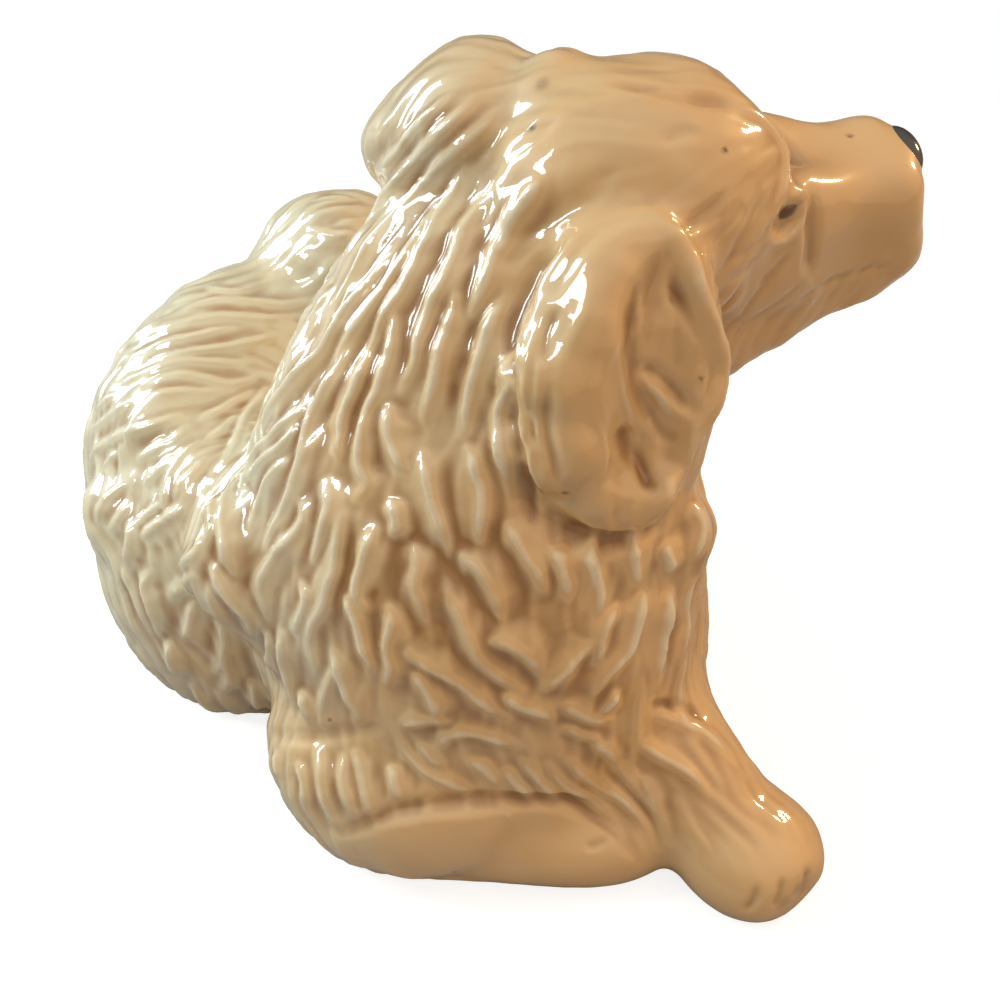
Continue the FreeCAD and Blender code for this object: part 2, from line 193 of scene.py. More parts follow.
CHEST_CRESTS = (
    (395, 402, 388, 420, 391, 442, 400, 462, 414, 478),
    (424, 448, 425, 466, 430, 486, 434, 503, 440, 520, 446, 540, 450, 560),
    (466, 442, 472, 456, 478, 472, 482, 492, 482, 512, 480, 532, 484, 552),
    (446, 575, 451, 600, 460, 620, 468, 636, 474, 650, 483, 663, 496, 675, 511, 685, 526, 692, 540, 696),
    (600, 632, 588, 646, 575, 660, 560, 674, 548, 686, 540, 696),
    (455, 550, 466, 560, 480, 572, 490, 588, 497, 606, 505, 626),
    (602, 540, 593, 551, 591, 562, 596, 576, 600, 592, 598, 610, 590, 628),
    (644, 586, 641, 605, 638, 622, 633, 638, 627, 651, 617, 662, 607, 673, 598, 686, 589, 698),
    (618, 602, 612, 615, 604, 628, 601, 642, 599, 656, 590, 670),
    (671, 588, 668, 605, 667, 621, 664, 637, 663, 650, 660, 668, 658, 688),
    (698, 575, 689, 588, 685, 602, 686, 618, 683, 640, 682, 662),
    (641, 528, 633, 545, 632, 562, 637, 578, 643, 588),
    (398, 650, 414, 655, 430, 667, 446, 675, 460, 683, 472, 694, 486, 705, 501, 714, 516, 722),
    (411, 668, 421, 681, 429, 693, 434, 706, 438, 720),
    (480, 642, 496, 640, 511, 645, 526, 655, 536, 667, 541, 681),
    (505, 520, 516, 540, 528, 560, 540, 578, 548, 598),
    (550, 545, 558, 565, 566, 585, 570, 604),
    (412, 540, 418, 560, 416, 582, 420, 604, 428, 625),
    (660, 545, 668, 560, 672, 575),
    (560, 700, 575, 712, 595, 720, 615, 722), (500, 690, 520, 706, 540, 712, 556, 722),
    (690, 505, 700, 522, 698, 545, 690, 562),
    (620, 690, 606, 704, 598, 720),
)
# Side of the broad face of a lock, where it isn't the usual one
LAPS = {(424, 448): -1, (466, 442): -1, (602, 540): -1, (644, 586): -1, (618, 602): -1, (671, 588): -1,
        (698, 575): -1, (372, 350): -1, (349, 504): -1, (600, 632): -1}
SHOULDER_CRESTS = (
    (349, 504, 342, 522, 338, 546, 335, 570, 329, 590, 324, 607, 314, 622, 309, 638, 310, 652, 318, 666),
    (299, 494, 304, 514, 300, 530, 290, 541, 279, 551, 268, 565, 260, 580, 262, 600, 269, 620),
    (236, 482, 226, 493, 223, 511, 222, 531, 225, 550, 230, 566, 238, 582),
    (380, 525, 372, 536, 366, 551, 362, 566, 357, 581, 357, 596, 365, 606, 376, 613),
    (344, 590, 351, 606, 358, 625, 363, 645, 370, 661, 376, 676),
    (334, 648, 338, 666, 344, 685, 351, 701, 357, 714, 362, 726),
    (210, 560, 218, 580, 228, 595, 240, 607, 250, 621, 252, 640, 247, 656, 240, 670, 237, 686, 243, 702),
    (200, 570, 189, 580, 178, 590, 168, 601), (251, 678, 255, 695, 260, 711, 266, 724),
    (286, 630, 283, 650, 285, 671, 290, 690, 296, 706), (268, 630, 271, 648, 270, 668),
    (300, 690, 306, 706, 313, 721), (215, 600, 220, 620, 225, 640, 222, 660, 214, 676),
    (196, 600, 192, 615, 189, 628, 181, 640), (150, 570, 145, 586, 150, 601, 155, 620, 159, 637),
    (130, 520, 132, 540, 128, 556, 133, 572), (206, 520, 200, 540, 194, 555, 184, 567),
    (182, 508, 166, 519, 151, 530, 140, 540), (212, 498, 213, 520, 208, 540, 205, 556),
    (230, 640, 225, 656, 228, 675, 224, 692), (170, 640, 172, 660, 178, 676),
    (300, 580, 306, 600, 300, 618, 290, 632), (388, 600, 392, 622, 386, 645, 390, 668, 384, 690),
    (320, 480, 330, 500, 326, 522, 318, 545, 312, 566), (390, 500, 396, 520, 394, 540),
)
BACK_CRESTS = (
    (310, 300, 280, 305, 250, 300, 220, 298, 196, 303, 174, 311), (300, 316, 260, 318, 220, 316, 190, 320, 163, 329),
    (240, 328, 215, 331, 190, 337, 165, 342, 140, 352, 116, 362),
    (290, 331, 260, 340, 230, 346, 200, 350, 170, 357, 140, 366),
    (250, 362, 220, 362, 190, 361, 160, 366, 130, 378, 108, 390), (262, 376, 230, 385, 200, 378, 175, 375, 145, 382),
    (258, 388, 236, 400, 215, 412, 199, 421), (240, 415, 222, 428, 205, 438),
    (262, 284, 230, 290, 205, 285, 180, 290, 164, 297),
    (250, 262, 225, 268, 200, 270, 184, 279), (160, 320, 145, 330, 130, 340, 114, 353),
    (182, 415, 160, 422, 140, 428, 115, 436, 98, 448), (191, 425, 171, 440, 151, 450, 134, 462),
    (201, 440, 181, 455, 161, 468, 144, 482), (206, 455, 191, 472, 176, 491),
    (131, 400, 115, 412, 100, 422, 90, 432), (118, 392, 104, 402, 93, 414), (110, 438, 95, 452, 88, 468),
    (121, 450, 105, 465, 96, 481, 92, 500), (131, 480, 112, 492, 100, 508, 96, 526), (130, 500, 120, 516, 110, 532),
    (270, 222, 258, 236, 246, 250), (360, 200, 335, 197, 310, 200), (356, 236, 330, 234, 306, 228),
    (168, 500, 152, 510, 140, 522, 128, 536),
)
LEG_CRESTS = (
    (352, 748, 359, 765, 363, 783, 367, 801, 373, 816), (345, 752, 342, 776, 348, 800, 354, 818),
    (316, 745, 320, 770, 322, 792, 330, 818, 340, 832), (296, 760, 303, 785, 305, 812, 304, 834),
    (400, 742, 413, 760, 431, 775, 451, 785, 472, 796), (398, 726, 420, 722, 440, 720, 456, 724),
    (436, 752, 449, 737, 471, 734, 500, 742, 522, 748), (520, 758, 531, 774, 546, 788, 562, 799),
    (545, 762, 561, 784, 581, 797, 600, 809, 616, 824, 628, 842),
    (566, 758, 581, 774, 600, 789, 621, 800, 641, 820, 652, 842),
    (610, 758, 632, 784, 656, 811, 668, 836), (390, 764, 395, 785, 402, 802), (500, 768, 515, 785, 532, 799),
    (640, 775, 650, 795, 662, 812), (470, 758, 486, 772, 500, 788), (420, 742, 430, 758, 446, 768),
    (590, 740, 606, 752, 622, 770), (630, 738, 655, 754, 690, 775, 716, 800), (276, 750, 280, 780, 284, 808),
    (655, 715, 690, 728, 716, 745, 735, 765), (560, 725, 584, 736, 604, 740),
)

# The crests above, with the half width and height of their locks in millimetres
TRACED_CRESTS = (
    (NECK_CRESTS, 4.2, 2.0), (CHEST_CRESTS, 5.6, 1.9), (SHOULDER_CRESTS, 4.8, 2.0), (BACK_CRESTS, 3.0, 1.1),
    (LEG_CRESTS, 3.2, 1.3),
)
# Seeds of the combed locks and strands, and their shares of a casting's lock: length, room round it, width and height
COMBED = ((7, (1.45, 2.0, 2.3, 0.85)), (8, (1.0, 1.6, 1.0, 0.27)))
MOST_STROKES = 6000
TRIED_PLACES = 26000
LEAST_RELIEF = 0.15
BROADEST_LOCK = 5.4
HAIR_STEP = 1.3 * MM
HAIR_WAVE = 0.16
# Waves that the hair shares: turn per millimetre along each axis, and turn at the start, in radians
WAVES = (((0.21, 0.13, 0.33), 0.7), ((-0.17, 0.29, 0.19), 2.1), ((0.33, -0.11, -0.27), 4.0))
# Ranges of a combed stroke's length, width and height as shares of the usual, and the share that lap the usual way
LENGTH_RANGE = (0.7, 1.2)
WIDTH_RANGE = (0.8, 1.2)
HEIGHT_RANGE = (0.6, 1.25)
USUAL_LAP = 0.7
# Height share up to which strokes are laid on top of those before them
LOW_STROKES = 0.6
# Reach of one listed direction of the hair, and the small share that it keeps farther off
WAY_REACH = 9 * MM
FAR_WAY_REACH = 10 * MM
FAR_WAY_SHARE = 1e-3
# Longest step between two neighbouring points of a line that was traced over one form
LONGEST_STEP = 16 * MM
# Shares of a stroke that taper at its root and its tip, and how fast: outline of a lock, its height, and soft strokes
LEAF_TAPER = (0.3, 0.35, 0.7)
HEIGHT_TAPER = (0.2, 0.3, 0.8)
SOFT_TAPER = (0.22, 0.22, 0.7)
# Fall of a lock on its broad and its steep side; its sharp edge: share of its width, most width, share of its height
BROAD_CURVE = 1.15
STEEP_CURVE = 1.4
EDGE_SHARE = 0.25
BROADEST_EDGE = 1.0 * MM
EDGE_HEIGHT = 0.22
# Width of a traced lock's steep side, as a share of its half width
TRACED_STEEP = 0.6
# Rounds of evening out that straighten the borders of the visual pieces
BORDER_ROUNDS = 12
# Share of a soft ridge's height that thins the glaze on it
RIDGE_SHADE = 0.25
# Value between the traced locks and the free clay from which a place counts as traced
TRACED_EDGE = 0.2
# Cell in which points near a line are sought, and the least agreement of their normals with those along the line
STROKE_CELL = 5.6 * MM
LEAST_FACING = 0.15
# Share of the relief by which the coat is let into the clay
MIDDLE_SHARE = 0.35
# Pooled glaze: rounds of evening out to the near and the far surroundings, and the weight of being lower than each
NEAR_ROUNDS = 12
FAR_ROUNDS = 70
NEAR_POOLING = 0.75
FAR_POOLING = 0.45
# Unevenness of the smoothest clay, and the relief from which it is full
LEAST_ROUGH = 0.3
ROUGH_RELIEF = 0.8
# Uneven rises of the whole clay: size and height in millimetres, and how many waves make them up
LUMPS = ((11.0, 0.32), (5.0, 0.08))
LUMP_WAVES = 9

# Creases pressed into the near side: pixel places, half width and depth in millimetres
CREASES = (
    ((338, 834, 360, 827, 380, 819, 400, 813, 430, 807, 470, 803, 520, 802, 560, 803, 585, 808, 605, 818, 620, 832,
      632, 850, 640, 862), 2.6, 1.5),
    ((584, 847, 594, 846, 603, 842, 607, 835), 1.2, 0.5),
    ((270, 735, 300, 738, 340, 732, 380, 728), 2.0, 0.5),
    ((652, 705, 680, 708, 706, 716), 1.8, 0.9),
    ((608, 80, 640, 86, 670, 92, 700, 97, 733, 103), 2.2, 0.8),
    ((686, 99, 712, 99, 732, 104), 1.8, 0.35),
    ((726, 191, 705, 212, 685, 232), 1.5, 0.5), ((745, 204, 728, 226, 711, 248), 1.4, 0.5),
    ((762, 192, 744, 232, 722, 275), 1.5, 0.55), ((774, 218, 745, 254, 714, 290), 1.4, 0.5),
    ((790, 254, 758, 288, 722, 324), 1.4, 0.5), ((800, 282, 765, 312, 730, 342), 1.4, 0.45),
    ((770, 236, 738, 276, 716, 310), 1.2, 0.4), ((781, 270, 752, 302, 724, 334), 1.2, 0.4),
    ((660, 142, 680, 134, 700, 131), 1.6, 0.35), ((612, 170, 590, 196, 560, 212, 520, 232), 2.6, 0.6),
    ((508, 160, 490, 178, 478, 196), 2.0, 0.5), ((560, 118, 530, 138, 505, 160), 2.0, 0.35),
)
# The same, pressed on both sides of the head
PAIRED_CREASES = (
    ((788, 138, 793, 153, 796, 170, 796, 184), 2.8, 1.3),
    ((812, 192, 813, 225, 810, 255, 808, 278), 2.3, 1.0),
)
# Brow and cheek on both sides of the head: pixel places, half width and height in millimetres
PAIRED_CRESTS = (
    ((738, 106, 758, 117, 774, 134, 783, 154, 785, 174, 781, 196, 768, 226), 3.2, 1.0),
    ((808, 290, 806, 262, 804, 236, 800, 228), 2.4, 0.5),
)
# Creases of the face: places ahead of, left of and above the skull's middle, half width and depth, in millimetres
MOUTH_CREASES = (
    (((54, 0.4, -6), (54, 0.4, -9), (53, 0.4, -12)), 1.3, 0.8),
    (((53, 0.4, -12), (51, 7, -14), (44, 12, -16), (35, 14, -17), (28, 15, -18)), 1.6, 0.6),
    (((53, 0.4, -12), (51, -6, -14), (44, -11, -16), (35, -13, -17), (28, -14, -18)), 1.6, 0.6),
)
# Creases of the near ear, in which less glaze pools than elsewhere
EAR_SHADE = 0.55
EAR_CREASES = (
    ((560, 246, 540, 268, 522, 300, 509, 335, 504, 375, 506, 420, 515, 462, 532, 500, 556, 528, 590, 543, 628, 541,
      656, 524, 670, 505), 3.4, 2.0),
    ((648, 245, 655, 285, 662, 340, 664, 380, 656, 415, 642, 455, 628, 495), 8.5, 2.6),
    ((640, 280, 631, 315, 633, 356, 640, 392, 657, 422, 678, 446), 2.4, 1.3),
    ((675, 280, 695, 312, 708, 348), 2.2, 0.8),
    ((643, 368, 662, 380, 680, 396, 694, 418), 2.2, 1.0),
    ((620, 432, 632, 458, 657, 490), 2.6, 1.2),
    ((527, 328, 519, 368, 521, 410, 533, 455, 550, 492), 1.5, 0.8),
    ((537, 345, 529, 385, 532, 425, 544, 468), 1.2, 0.7),
    ((551, 385, 546, 415, 551, 450, 563, 487), 1.8, 0.9),
    ((558, 308, 548, 335, 543, 365), 1.3, 0.5),
)
# Soft ridges of the near ear: pixel places, half width and height in millimetres
EAR_CRESTS = (
    ((660, 212, 643, 234, 618, 268, 597, 310, 585, 355, 581, 400, 587, 445, 600, 492, 612, 515), 7.0, 2.2),
    ((650, 205, 662, 221, 682, 248, 698, 290, 711, 330, 720, 365, 720, 393, 702, 420, 686, 443, 678, 465, 668, 486,
      650, 510, 627, 530), 3.4, 1.8),
    ((634, 290, 623, 320, 624, 356, 631, 392, 646, 420, 664, 444), 2.2, 0.7),
    ((652, 384, 672, 402, 694, 426), 2.0, 0.9),
    ((612, 440, 628, 466, 650, 494), 2.2, 0.8),
)
# Specks and stains of the glaze, and three broader, fainter dark marks over the toe creases: pixel place, radius in
# millimetres and strength; how sharp their edges are
SPECK_EDGE = 1.4
SPECKS = (
    (532, 128, 0.8, 1.0), (725, 150, 0.7, 1.0), (850, 136, 0.7, 1.0), (565, 493, 0.8, 1.0), (542, 84, 1.6, 0.4),
    (702, 379, 0.6, 0.8), (330, 720, 0.6, 0.8), (455, 872, 0.6, 0.7), (208, 520, 0.6, 0.7), (380, 470, 0.5, 0.6),
    (798, 888, 2.0, 0.3), (784, 903, 2.2, 0.3), (806, 872, 1.4, 0.25),
)
TOE_CREASE_HALF_WIDTH = 1.3
TOE_CREASE_DEPTH = 0.7
TOE_CREASES = ((805, 868, 806, 884, 800, 900), (782, 878, 781, 894, 772, 908), (757, 885, 754, 900, 744, 912))

# Pads of clay on the near side: pixel place, depth of the middle below the surface and radius, in millimetres
PADS = (
    (428, 148, 5.5, 8.0), (470, 120, 6.0, 9.0), (562, 84, 9.5, 9.0), (676, 536, 6.0, 9.5), (250, 560, 9.0, 15.0),
    (215, 500, 8.0, 13.0), (165, 430, 8.0, 13.0), (600, 500, 2.0, 7.0), (552, 442, 4.0, 8.0), (640, 490, 2.5, 6.5),
    (546, 372, 4.2, 7.5), (114, 515, 7.0, 10.0),
)

# Broad patches of painted shade (above 0) and painted light (below 0), added to the pooled glaze: pixel place, radius
# in millimetres and amount
PAINTED_SHADE_AND_LIGHT = (
    (470, 610, 24.0, 0.15), (415, 560, 12.0, 0.12), (585, 715, 12.0, 0.07), (740, 800, 13.0, 0.16),
    (330, 780, 14.0, 0.04), (335, 215, 9.0, 0.10), (250, 365, 13.0, 0.06), (510, 600, 12.0, 0.05),
    (655, 620, 13.0, -0.24), (600, 585, 9.0, -0.10), (650, 400, 9.0, -0.16), (600, 420, 6.0, -0.12),
    (680, 110, 14.0, -0.04),
)

# Smooth fields of the near side, as pixel outlines
SMOOTH_FIELDS = (
    (338, 836, 380, 821, 430, 809, 520, 804, 585, 810, 618, 832, 636, 860, 550, 895, 440, 895, 350, 872, 300, 850),
    (285, 250, 330, 252, 330, 300, 300, 325, 270, 300),
)

# The muzzle in the head's own directions, in millimetres: its middle, half sizes, and the room that is its own
MUZZLE_MIDDLE = (38.0, 0.65, -8.5)
MUZZLE_HALF = (14.5, 11.8, 13.0)
MUZZLE_SIDE = 22
MUZZLE_HEIGHTS = (-60, 30)
# Spans over which it turns square ahead, and rounder again above, with the squareness below and what is lost above
SQUARE_AHEAD = (23, 34)
ROUND_ABOVE = (-12, 0)
SQUARENESS = 0.8
ROUNDED_OFF = 0.45
SWELL_SHARES = (0.2, 1.0, 1.0)
# How far the muzzle and the jaw are lowered and the chin is brought forward, and the spans where that sets in
MUZZLE_DROP = 2.4
MUZZLE_DROP_AHEAD = (24, 50)
JAW_DROP = 0.7
JAW_AHEAD = (2, 16)
JAW_ABOVE = (-22, -8)
JAW_SIDE = 24
THROAT_ABOVE = (-75, -45)
CHIN_FORWARD = 3.2
CHIN_AHEAD = (38, 48)
CHIN_ABOVE = (-14, -2)
# Dents of the skull and of the bridge: place, radius and depth
DENTS = (((21, 5, 15), 12.0, 2.4), ((2, 6, 23), 10.0, 1.2), ((30, 0.5, 7), 11.0, 2.4))
# The face ends softly before this limit of Y, so that it stays in the CAD's box
FRONT_LIMIT = 65.0 * MM
FRONT_EASE = 3 * MM

# Left eye in the head's own directions, in millimetres: its middle, radius, stretch, and how deep its middle sits
EYE_PLACE = (20.6, 13.4, 3.6)
EYE_RADIUS = 2.5
EYE_STRETCH = (1.1, 1.0, 0.92)
EYE_SINK = 1.5
SOCKET_RADIUS = 4.6
SOCKET_DEPTH = 1.5
# Nose: middle and half sizes; nostrils: how far ahead of, beside and above its middle, radius and depth
NOSE_PLACE = (50.8, 0.4, -0.9)
NOSE_HALF = (3.1, 5.8, 3.7)
NOSTRIL_SHIFT = (4, 2.9, -1.5)
NOSTRIL_RADIUS = 1.5
NOSTRIL_DEPTH = 1.0
# Arcs of the left eye's lids, with their half width and heights
LID_HALF_WIDTH = 1.6
LID_STEEP = 0.9
UPPER_LID_HEIGHT = 0.8
LOWER_LID_HEIGHT = 0.9
UPPER_LID = ((24.5, 10.5, 3.0), (23.4, 11.8, 6.0), (20.5, 14.2, 7.2), (17.3, 15.8, 5.6), (15.8, 16.6, 3.0))
LOWER_LID = ((24.5, 10.5, 2.6), (23.6, 12.6, 0.4), (20.4, 15.0, -0.8), (17.3, 16.4, 0.6), (15.8, 16.6, 2.6))

# Height of the grain that roughens a normal
GRAIN_DEPTH = 0.2 * MM
# Body of the glaze: amber and greener cream mixed in clouds, with painted light along X: the warm lamp's amber
# towards the head and the cool window's greener cream towards the rump, from where X is below the border
AMBER_BODY = (0.67, 0.435, 0.205)
CREAM_BODY = (0.64, 0.56, 0.38)
CREAM_BORDER = 0.022
SPECK_BROWN = (0.10, 0.045, 0.015)
# Scale and detail of the noises
CLOUDS = (30.0, 3.0)
STREAKS = (95.0, 3.0)
DIMPLES = (260.0, 2.0)
BRUSH_MARKS = (420.0, 2.0)
DUST = (60.0, 4.0)
GRIT = (900.0, 2.0)
# Values of the pooled glaze and the painted shade and light below which the glaze is thin and pale, and above which
# it pools
PALE_BELOW = 0.30
POOLED_ABOVE = 0.53
GROOVE_CONTRAST = 2.6
GLAZE_SHEEN = {
    "Roughness": 0.38, "Coat Weight": 1.0, "Coat Roughness": 0.045, "Coat IOR": 1.6, "Specular IOR Level": 0.3,
}
EYE_BROWN = (0.10, 0.04, 0.012)
NOSE_BLACK = (0.012, 0.010, 0.009)
ENAMEL_SHEEN = {"Roughness": 0.2, "Coat Weight": 1.0, "Coat Roughness": 0.03}
CLAY_TONES = ((0.62, 0.50, 0.36), (0.80, 0.70, 0.55))

# Lights: name, direction from the dog, distance, width, height, power and colour
LIGHTS = (
    ("side_window", (-0.92, -0.20, 0.32), 0.62, 0.16, 0.32, 2.6, (0.82, 0.96, 1.0)),
    ("front_window", (-0.56, -0.56, 0.60), 0.66, 0.10, 0.26, 1.5, (0.88, 0.98, 1.0)),
    ("warm_lamp", (0.30, 0.80, 0.45), 0.60, 0.07, 0.07, 1.2, (1.0, 0.66, 0.34)),
)
# Soft light of the room: colours at the horizon and above, then direction and colour of each broad glow
HORIZON = (0.075, 0.08, 0.085)
ZENITH = (0.93, 0.84, 0.71)
ROOM = (((0.95, 0.20, 0.25), (0.98, 0.64, 0.37)), ((-0.90, -0.30, 0.30), (0.09, 0.13, 0.14)))
# Floor: its size, how far it lies under the dog, its own tone, and the glow that whitens it for the camera
FLOOR_SIZE = 6
FLOOR_DROP = 0.2 * MM
FLOOR_TONE = (0.36, 0.36, 0.36)
FLOOR_GLOW = 0.82
# How far from the origin the floor starts to turn white for the camera, in metres, and how much of it per metre
FADE_START = 0.1
FLOOR_FADE = 4.0
WHITE = (1, 1, 1)
NEAREST_SEEN = 10 * MM


def camera_axes():
    """Right, up and look directions of the camera."""
    look = Vector((
        -math.sin(CAMERA_AZIMUTH) * math.cos(CAMERA_ELEVATION),
        math.cos(CAMERA_AZIMUTH) * math.cos(CAMERA_ELEVATION),
        -math.sin(CAMERA_ELEVATION),
    ))
    right = look.cross(Vector((0, 0, 1))).normalized()
    return right, right.cross(look), look


def camera_place():
    return CAMERA_TARGET - camera_axes()[2] * CAMERA_DISTANCE


def pixel_ray(across, down):
    """Direction from the camera through a pixel of the photograph."""
    right, up, look = camera_axes()
    middle = PHOTO_SIDE / 2
    return (look + right * ((across - middle) / FOCAL_PIXELS) - up * ((down - middle) / FOCAL_PIXELS)).normalized()


def head_turn():
    return Euler((HEAD_LEAN, 0, HEAD_TURN))


def deselect_all():
    if bpy.context.mode != "OBJECT":
        bpy.ops.object.mode_set(mode="OBJECT")
    bpy.ops.object.select_all(action="DESELECT")


def make_active(piece):
    deselect_all()
    piece.select_set(True)
    bpy.context.view_layer.objects.active = piece


def placed(name, data):
    """A new object in the scene."""
    piece = bpy.data.objects.new(name, data)
    bpy.context.scene.collection.objects.link(piece)
    return piece


def added(operator, **settings):
    """The object that an operator adds."""
    deselect_all()
    operator(**settings)
    return bpy.context.view_layer.objects.active


def apply_transform():
    bpy.ops.object.transform_apply(location=True, rotation=True, scale=True)


def rows_of(items, name, width, kind=float):
    """One property of all the items of a mesh, a row each."""
    values = np.empty(len(items) * width, dtype=kind)
    items.foreach_get(name, values)
    return values.reshape(-1, width)


def joined(pieces, name):
    """Several pieces made one."""
    make_active(pieces[0])
    for piece in pieces:
        piece.select_set(True)
    bpy.ops.object.join()
    whole = bpy.context.view_layer.objects.active
    whole.name = name
    whole.data.name = name
    return whole


def copy_of(node):
    """A copy of a casting with its loose facets joined up."""
    piece = placed(node + "_copy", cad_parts[node].data.copy())
    make_active(piece)
    bpy.ops.object.mode_set(mode="EDIT")
    bpy.ops.mesh.select_all(action="SELECT")
    bpy.ops.mesh.remove_doubles(threshold=WELD_GAP)
    bpy.ops.object.mode_set(mode="OBJECT")
    return piece


def finish_modifier(piece, kind, **settings):
    """Adds a modifier and applies it at once."""
    make_active(piece)
    modifier = piece.modifiers.new(kind.lower(), kind)
    for setting, value in settings.items():
        setattr(modifier, setting, value)
    bpy.ops.object.modifier_apply(modifier=modifier.name)


class Skin:
    """The surface of a piece as arrays, so that forms can be pressed and combed into it."""

    def __init__(self, piece):
        self.mesh = piece.data
        self.points = rows_of(self.mesh.vertices, "co", 3)
        self.normals = rows_of(self.mesh.vertices, "normal", 3)
        self.ends = rows_of(self.mesh.edges, "vertices", 2, np.int64)
        self.degree = np.bincount(self.ends.ravel(), minlength=len(self.points))[:, None].astype(float)

    def write(self):
        self.mesh.vertices.foreach_set("co", self.points.ravel())
        self.mesh.update()
        self.normals = rows_of(self.mesh.vertices, "normal", 3)

    def spread(self, values, rounds, share=0.7):
        """Values evened out between neighbours."""
        flat = values.ndim == 1
        values = values.reshape(len(values), -1).astype(float)
        first, second = self.ends[:, 0], self.ends[:, 1]
        count = len(values)
        for _ in range(rounds):
            total = np.empty_like(values)
            for column in range(values.shape[1]):
                value = values[:, column]
                total[:, column] = (
                    np.bincount(first, weights=value[second], minlength=count)
                    + np.bincount(second, weights=value[first], minlength=count)
                )
            values = values + share * (total / self.degree - values)
        return values[:, 0] if flat else values

    def sort_cells(self, cell):
        """Sorts the points by cell, so that those near a line are found fast."""
        self.cell = cell
        self.low = self.points.min(axis=0) - 2 * cell
        self.cells = np.ceil((self.points.max(axis=0) + 2 * cell - self.low) / cell).astype(int) + 1
        keys = self.cell_keys(self.points)
        self.order = np.argsort(keys, kind="stable")
        self.starts = np.searchsorted(keys[self.order], np.arange(self.cells.prod() + 1))

    def cell_keys(self, points):
        at = np.floor((points - self.low) / self.cell).astype(int)
        at = np.clip(at, 0, self.cells - 1)
        return (at[:, 0] * self.cells[1] + at[:, 1]) * self.cells[2] + at[:, 2]

    def near(self, line):
        """Numbers of the points within about one cell of a line."""
        steps = np.array([(i, j, k) for i in (-1, 0, 1) for j in (-1, 0, 1) for k in (-1, 0, 1)]) * self.cell
        keys = np.unique(self.cell_keys((line[:, None, :] + steps[None]).reshape(-1, 3)))
        runs = [self.order[self.starts[key]:self.starts[key + 1]] for key in keys]
        return np.concatenate(runs)


def unit(vectors):
    return vectors / np.maximum(np.linalg.norm(vectors, axis=-1, keepdims=True), 1e-12)


def dome(gap, power):
    """1 in the middle of a round form and 0 from its rim on, which lies at a gap of 1."""
    return np.clip(1 - gap ** 2, 0, 1) ** power


def tapered(share, start, end, power):
    """1 along a stroke and 0 at both ends, with the shares of its length that the two ends take."""
    return np.clip(np.minimum(share / start, (1 - share) / end), 0, 1) ** power


def from_line(points, line):
    """Distance of points from a line, their share of the way along it, its nearest step and the gap to that."""
    first = line[:-1]
    run = line[1:] - first
    square = np.maximum((run ** 2).sum(axis=1), 1e-14)
    gap = points[:, None, :] - first[None]
    along = np.clip((gap * run[None]).sum(axis=2) / square, 0, 1)
    gap = gap - along[..., None] * run[None]
    distance = (gap ** 2).sum(axis=2)
    nearest = distance.argmin(axis=1)
    rows = np.arange(len(points))
    lengths = np.sqrt(square)
    before = np.concatenate(([0.0], np.cumsum(lengths)))
    share = (before[nearest] + along[rows, nearest] * lengths[nearest]) / before[-1]
    return np.sqrt(distance[rows, nearest]), share, nearest, gap[rows, nearest]


def surface_tree(piece):
    mesh = piece.data
    return BVHTree.FromPolygons([v.co for v in mesh.vertices], [p.vertices[:] for p in mesh.polygons])


def seen_at(tree, across, down):
    """Place on the clay that a pixel of the photograph shows, or None."""
    return tree.ray_cast(camera_place(), pixel_ray(across, down))[0]


def joined_marks(count, first, second):
    """One number for all the points that pairs of ends join, directly or through others."""
    marks = np.arange(count)
    while True:
        lower = marks.copy()
        np.minimum.at(lower, first, marks[second])
        np.minimum.at(lower, second, marks[first])
        lower = lower[lower]
        if (lower == marks).all():
            return marks
        marks = lower


def outer_clay(piece):
    """Keeps the outermost closed surface alone, because the hollow inside never shows."""
    skin = Skin(piece)
    marks = joined_marks(len(skin.points), skin.ends[:, 0], skin.ends[:, 1])
    start = marks[skin.points[:, 0].argmax()]
    make_active(piece)
    bpy.ops.object.mode_set(mode="EDIT")
    bpy.ops.mesh.select_all(action="DESELECT")
    bpy.ops.mesh.select_mode(type="VERT")
    bpy.ops.object.mode_set(mode="OBJECT")
    piece.data.vertices.foreach_set("select", marks != start)
    bpy.ops.object.mode_set(mode="EDIT")
    bpy.ops.mesh.delete(type="VERT")
    bpy.ops.object.mode_set(mode="OBJECT")


def casting_labels(skin):
    """Which casting each point of the clay lies on, by its number among the names, and the gap to that casting."""
    corners, faces, owners, names = [], [], [], []
    for name in COATS:
        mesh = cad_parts[name].data
        offset = len(corners)
        corners.extend(v.co.copy() for v in mesh.vertices)
        faces.extend([offset + i for i in p.vertices] for p in mesh.polygons)
        owners.extend([len(names)] * len(mesh.polygons))
        names.append(name)
    tree = BVHTree.FromPolygons(corners, faces)
    owners = np.array(owners)
    numbers = np.empty(len(skin.points), dtype=int)
    gaps = np.empty_like(skin.points)
    for i, point in enumerate(skin.points):
        place, _, number, _ = tree.find_nearest(Vector(point))
        numbers[i] = number
        gaps[i] = place - Vector(point)
    return owners[numbers], names, gaps


def eased(values, start, end):
    """0 before the start, 1 past the end and a soft step between them."""
    share = np.clip((values - start) / (end - start), 0, 1)
    return share * share * (3 - 2 * share)


